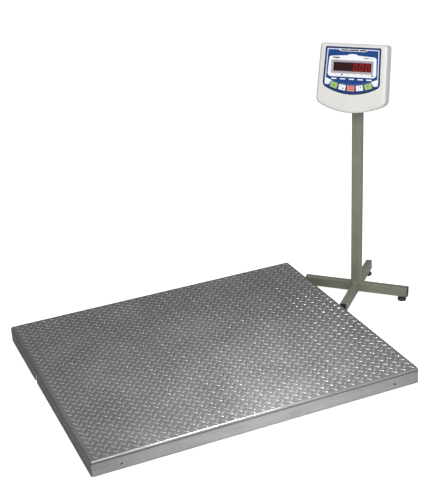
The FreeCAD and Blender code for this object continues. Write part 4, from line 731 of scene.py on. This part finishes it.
def end_patches():
    """A white patch on the label at each end of the row of keys."""
    for name, side in (("left", -1), ("right", 1)):
        outline = [(side * x, z) for x, z in PATCH_CORNERS][::side]
        paints = [(outline, WHITE_INK)]
        printed(f"end_patch_{name}", paints, [], -PATCH_THICK, 0.0, slot="label_blue")


def label():
    """The printed film: white margin, navy border, pale line, blue panel, white display field, a blank
    title bar and small prints. The CAD's film gives way to it."""
    rise = head_middle("display_window")[1]
    ring = film_outline(RING_INSET)
    paints = [
        (film_outline(), WHITE_INK),
        (film_outline(NAVY_INSET), NAVY_INK),
        (ring, BLUE_INK),
        (key_band(), BAND_INK),
        (lower_edge(ring, PALE_INNER, PALE_FOOT, PALE_FOOT[1]), PALE_INK),
        (lower_edge(film_outline(PANEL_INSET), PANEL_INNER, PANEL_FOOT, PANEL_SIDE_FOOT), BLUE_INK),
        (screen_outline(rise), WHITE_INK),
        (title_outline(), WHITE_INK),
    ]
    paints += small_prints(rise)
    low, high = head_span("display_bezel")
    opening = (high.x - low.x - 2 * BEZEL_OVERLAP, high.z - low.z - 2 * BEZEL_OVERLAP)
    holes = [oblong((0, rise), opening, 2)] + list(key_outlines())
    sheet = printed("label_film", paints, holes, 0.0, FILM_THICK, slot="label_blue")
    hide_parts("keypad_overlay")
    end_patches()


# ---------------------------------------------------------------- bezel

# How far the rim laps over the pane, and the body behind the film: how far it stands out round the pane and
# how deep it starts.
PANE_OVERLAP = 1.5
BODY_GROW = 2.0
BODY_FRONT = 0.05


def bezel():
    """The window's frame as one moulding: a sloping outer edge, a flat rim and a chamfer down to the
    window, with a rebate behind it for the pane."""
    low, high = head_span("display_bezel")
    window_low, window_high = head_span("display_window")
    centre = head_middle("display_bezel")
    outer = (high.x - low.x, high.z - low.z)
    lap = (window_high.x - window_low.x, window_high.z - window_low.z)
    sight = (lap[0] - 2 * PANE_OVERLAP, lap[1] - 2 * PANE_OVERLAP)
    front = low.y
    back = high.y
    pane = window_low.y

    def ring(size, grow, depth, corner):
        sides = (size[0] + 2 * grow, size[1] + 2 * grow)
        return [(x, depth, z) for x, z in oblong(centre, sides, corner)]

    on_the_film = [ring(outer, -0.2, -0.02, 3.0)]
    outer_edge = [ring(outer, 0.0, front + 0.7, 3.2), ring(outer, -0.7, front + 0.1, 2.7)]
    flat_rim = [ring(outer, -1.8, front, 2.2), ring(outer, -5.4, front + 0.15, 1.6)]
    chamfer = [ring(sight, 0.3, front + 1.3, 0.6), ring(sight, 0.0, pane - 0.05, 0.5)]
    rebate = [ring(lap, 0.1, pane - 0.02, 0.4), ring(lap, 0.1, back, 0.4)]
    body = [ring(lap, BODY_GROW, back, 1.0), ring(lap, BODY_GROW, BODY_FRONT, 1.0)]
    rings = on_the_film + outer_edge + flat_rim + chamfer + rebate + body
    count = len(rings[0])
    vertices = [spot for one in rings for spot in one]
    faces = []
    for k in range(len(rings)):
        near = k * count
        far = (k + 1) % len(rings) * count
        faces += [(near + i, near + (i + 1) % count, far + (i + 1) % count, far + i) for i in range(count)]
    made = piece("bezel_frame", vertices, faces, [BEZEL], place=HEAD, smooth=True, slot="bezel_grey")
    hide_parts("display_bezel")


# ---------------------------------------------------------------- welds

# The column's side and the legs' width, as in the CAD, then the bead: its radius in the middle and at its
# ends, how far it stays off the column and the leg's edges, its ripple, and its divisions along and around.
COLUMN_SIDE = 38.0
LEG_WIDE = 25.0
BEAD_RADIUS = 2.1
BEAD_END = 0.05
BEAD_OFF_COLUMN = 0.3
BEAD_OFF_EDGE = 1.5
RIPPLE = 0.1
RIPPLE_TURN = 2.4
BEAD_STEPS = 22
BEAD_SIDES = 8


def weld_beads():
    """A rippled bead of weld where each leg of the cross meets the foot of the column."""
    foot = Vector((STAND_MIDDLE.x, STAND_MIDDLE.y, span("stand_column")[0].z))
    turn = math.atan2(HEAD_AXES[1][0], HEAD_AXES[0][0])
    reach = COLUMN_SIDE / 2 + BEAD_OFF_COLUMN
    half = LEG_WIDE / 2 - BEAD_OFF_EDGE
    vertices = []
    faces = []
    for quarter in range(4):
        swing = Matrix.Rotation(turn + quarter * math.pi / 2, 3, "Z")
        first = len(vertices)
        for i in range(BEAD_STEPS + 1):
            t = i / BEAD_STEPS * 2 - 1
            ripple = 1 + RIPPLE * math.sin(i * RIPPLE_TURN)
            radius = BEAD_RADIUS * (1 - t**6) ** 0.5 * ripple + BEAD_END
            for j in range(BEAD_SIDES):
                angle = 2 * math.pi * j / BEAD_SIDES
                spot = Vector((half * t, reach + radius * math.cos(angle), radius * math.sin(angle)))
                vertices.append(swing @ spot + foot)
        for i in range(BEAD_STEPS):
            for j in range(BEAD_SIDES):
                a = first + i * BEAD_SIDES + j
                b = first + i * BEAD_SIDES + (j + 1) % BEAD_SIDES
                faces.append((a, b, b + BEAD_SIDES, a + BEAD_SIDES))
        last = first + BEAD_STEPS * BEAD_SIDES
        faces.append(tuple(first + j for j in reversed(range(BEAD_SIDES))))
        faces.append(tuple(last + j for j in range(BEAD_SIDES)))
    piece("weld_beads", vertices, faces, [STAND], smooth=True, slot="stand_paint")


# ---------------------------------------------------------------- keys

KEY_TRIANGLE = [(-4, -3.5), (4, -3.5), (0, 4)]
SIGN_HALF_THICK = 0.05


def key_signs():
    """The plain outlines printed on each key, about the key's middle, and their ink."""
    upwards = rounded(KEY_TRIANGLE, 0.8)
    downwards = rounded([(-x, -z) for x, z in KEY_TRIANGLE], 0.8)
    bar_and_dot = [oblong((-4, 2.5), (5, 1.6), 0.5), oblong((4, -3), (5, 5), 2.2)]
    six_cells = [oblong((x, z), (4.6, 4), 0.8) for x in (-6, 0, 6) for z in (-3, 3)]
    dot_and_bar = [oblong((4, 3), (4.4, 4.4), 2), oblong((-4, -2.5), (6, 1.6), 0.5)]
    return {
        1: ([upwards], GREEN_DARK),
        2: (bar_and_dot, DARK_INK),
        3: (six_cells, RED_DARK),
        4: (dot_and_bar, DARK_INK),
        5: ([downwards], GREEN_DARK),
    }


def key_marks():
    """Prints each key's sign in the slant of the key; the sign rides with the key."""
    for number, (outlines, ink) in key_signs().items():
        middle = Vector(head_middle(f"key_{number}"))
        swing = Matrix.Rotation(math.asin(middle.x / KEY_ARC), 2)
        face = head_span(f"key_{number}")[0].y
        near, far = face - SIGN_HALF_THICK, face + SIGN_HALF_THICK
        for i, outline in enumerate(outlines):
            spots = [tuple(swing @ Vector(spot) + middle) for spot in outline]
            name = f"key_sign_{number}_{i}"
            printed(name, [(spots, ink)], [], near, far, body=f"key_{number}", slot="label_blue")


# ---------------------------------------------------------------- digits

# Each segment's place as (across, up), in halves of the digit, and whether it lies flat. A digit lights the
# segments listed for it; the point stands after the digit with that number, counted from 0.
SEGMENTS = {
    "a": (0, 1, True),
    "g": (0, 0, True),
    "d": (0, -1, True),
    "f": (-1, 0.5, False),
    "b": (1, 0.5, False),
    "e": (-1, -0.5, False),
    "c": (1, -0.5, False),
}
DIGITS = {"0": "abcdef", " ": ""}
READING = "   000"
POINT_AFTER = 3
DIGIT_PITCH = 22.5
DIGIT_WIDE = 13.0
DIGIT_TALL = 25.0
DIGIT_SLANT = math.tan(math.radians(8))
BLOCK_WIDE = 21.5
SEGMENT_THICK = 2.0
SEGMENT_GAP = 1.2
SEGMENT_ROUND = 0.42
POINT_SIZE = 2.8
POINT_OFF = 1.5


def segment_outline(across, height, lies):
    """One segment of an upright digit about the digit's middle."""
    half_x = (DIGIT_WIDE - SEGMENT_THICK) / 2
    half_z = (DIGIT_TALL - SEGMENT_THICK) / 2
    flat = (DIGIT_WIDE - SEGMENT_THICK - SEGMENT_GAP, SEGMENT_THICK)
    upright = (SEGMENT_THICK, half_z - SEGMENT_GAP)
    middle = (across * half_x, height * half_z)
    return oblong(middle, flat if lies else upright, SEGMENT_THICK * SEGMENT_ROUND)


def led_digits():
    """Six digit blocks behind the window; the last three read 0.00."""
    low, high = head_span("led_digits")
    rise = head_middle("led_digits")[1]
    for place, sign in enumerate(READING):
        centre = (place - (len(READING) - 1) / 2) * DIGIT_PITCH
        block = oblong((centre, rise), (BLOCK_WIDE, high.z - low.z), 0.6)
        paints = [(block, GLOWING_FACE if DIGITS[sign] else BLACK)]
        for name, spot in SEGMENTS.items():
            bar = [(centre + x + z * DIGIT_SLANT, rise + z) for x, z in segment_outline(*spot)]
            paints.append((bar, LIT_SEGMENT if name in DIGITS[sign] else DIM_SEGMENT))
        spot = (centre + DIGIT_WIDE / 2 + POINT_OFF, rise - DIGIT_TALL / 2 + SEGMENT_THICK / 2)
        point = oblong(spot, (POINT_SIZE, POINT_SIZE), 1.3)
        paints.append((point, LIT_SEGMENT if place == POINT_AFTER else DIM_SEGMENT))
        digit = printed(f"digit_{place + 1}", paints, [], low.y, high.y, slot="digit_module")
        if place == 0:
            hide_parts("led_digits")


# ---------------------------------------------------------------- studio

# The camera's place in metres, its turns in degrees and its lens in millimetres.
CAMERA_SPOT = Vector((-1.295, -3.257, 2.029))
CAMERA_HEADING = -22.79
CAMERA_TILT = 65.69
CAMERA_ROLL = -2.84
CAMERA_LENS = 78.67
FLOOR_REACH = 30.0
FLOOR_GLOW = 0.75
FLOOR_BOUNCE = (0.6, 0.6, 0.6)
SKY_TOWARDS = (0.15, -0.9, 0.35)
SKY_SPREAD = (-0.8, 0.8)
SKY_RANGE = (0.15, 0.68)


def pale_floor():
    """A floor that looks white to the camera but throws little light back."""
    floor = bpy.data.objects.new("floor", bpy.data.meshes.new("floor"))
    corners = [(x * FLOOR_REACH, y * FLOOR_REACH, 0) for x, y in ((-1, -1), (1, -1), (1, 1), (-1, 1))]
    floor.data.from_pydata(corners, [], [(0, 1, 2, 3)])
    finish = Finish("pale_floor", Roughness=0.9, Emission_Color=(1.0, 1.0, 1.0), Specular_IOR_Level=0.0)
    seen = finish.add("ShaderNodeLightPath").outputs["Is Camera Ray"]
    clouds = finish.spread(finish.noise(400, 3), 0.3, 0.7)
    pale = finish.mix(clouds, (0.93, 0.93, 0.93), (0.95, 0.95, 0.95))
    finish.put(Base_Color=finish.mix(seen, FLOOR_BOUNCE, pale))
    finish.put(Emission_Strength=finish.sums("MULTIPLY", seen, FLOOR_GLOW))
    floor.data.materials.append(finish.material)
    bpy.context.scene.collection.objects.link(floor)


def soft_sky():
    """A sky that is brightest towards the front, and plain white where the camera sees it."""
    world = bpy.data.worlds.new("studio")
    bpy.context.scene.world = world
    world.use_nodes = True
    nodes = world.node_tree.nodes
    links = world.node_tree.links
    around = nodes.new("ShaderNodeTexCoord").outputs["Generated"]
    facing = nodes.new("ShaderNodeVectorMath")
    facing.operation = "DOT_PRODUCT"
    facing.inputs[1].default_value = Vector(SKY_TOWARDS).normalized()
    links.new(around, facing.inputs[0])
    fade = nodes.new("ShaderNodeMapRange")
    for name, value in zip(("From Min", "From Max", "To Min", "To Max"), SKY_SPREAD + SKY_RANGE):
        fade.inputs[name].default_value = value
    links.new(facing.outputs["Value"], fade.inputs["Value"])
    seen = nodes.new("ShaderNodeLightPath").outputs["Is Camera Ray"]
    backdrop = nodes.new("ShaderNodeMix")
    backdrop.inputs["B"].default_value = 1.0
    links.new(seen, backdrop.inputs["Factor"])
    links.new(fade.outputs[0], backdrop.inputs["A"])
    nodes["Background"].inputs["Color"].default_value = (1, 1, 1, 1)
    links.new(backdrop.outputs["Result"], nodes["Background"].inputs["Strength"])


def softbox(name, spot, target, size, power, spread=180):
    """A rectangular lamp that looks at a target; lengths in metres, spread in degrees."""
    light = bpy.data.lights.new(name, "AREA")
    light.shape = "RECTANGLE"
    light.size, light.size_y = size
    light.energy = power
    light.spread = math.radians(spread)
    lamp = bpy.data.objects.new(name, light)
    lamp.location = spot
    lamp.rotation_euler = (Vector(target) - Vector(spot)).to_track_quat("-Z", "Y").to_euler()
    bpy.context.scene.collection.objects.link(lamp)


def photo_camera():
    """The camera that shows the scale as the photo does."""
    camera = bpy.data.objects.new("camera", bpy.data.cameras.new("camera"))
    camera.data.lens = CAMERA_LENS
    camera.data.clip_start = 0.05
    aim = Matrix.Identity(4)
    for degrees, axis in ((CAMERA_HEADING, "Z"), (CAMERA_TILT, "X"), (CAMERA_ROLL, "Z")):
        aim = aim @ Matrix.Rotation(math.radians(degrees), 4, axis)
    camera.matrix_world = Matrix.Translation(CAMERA_SPOT) @ aim
    bpy.context.scene.collection.objects.link(camera)
    bpy.context.scene.camera = camera
    bpy.context.scene.view_settings.view_transform = "Standard"


def studio():
    """Floor, sky, a softbox in front, a small lamp that makes the lugs glint, and the camera."""
    pale_floor()
    soft_sky()
    softbox("key_light", (-0.5, -3.2, 2.6), (0.4, 0, 0.4), (1.4, 1.2), 95)
    softbox("lug_light", (0.1, -0.38, 1.05), (0.05, -0.55, 0.06), (0.14, 0.14), 5, spread=96)
    photo_camera()


finish_cad_nodes()
chequer_lugs()
label()
bezel()
weld_beads()
key_marks()
led_digits()
studio()
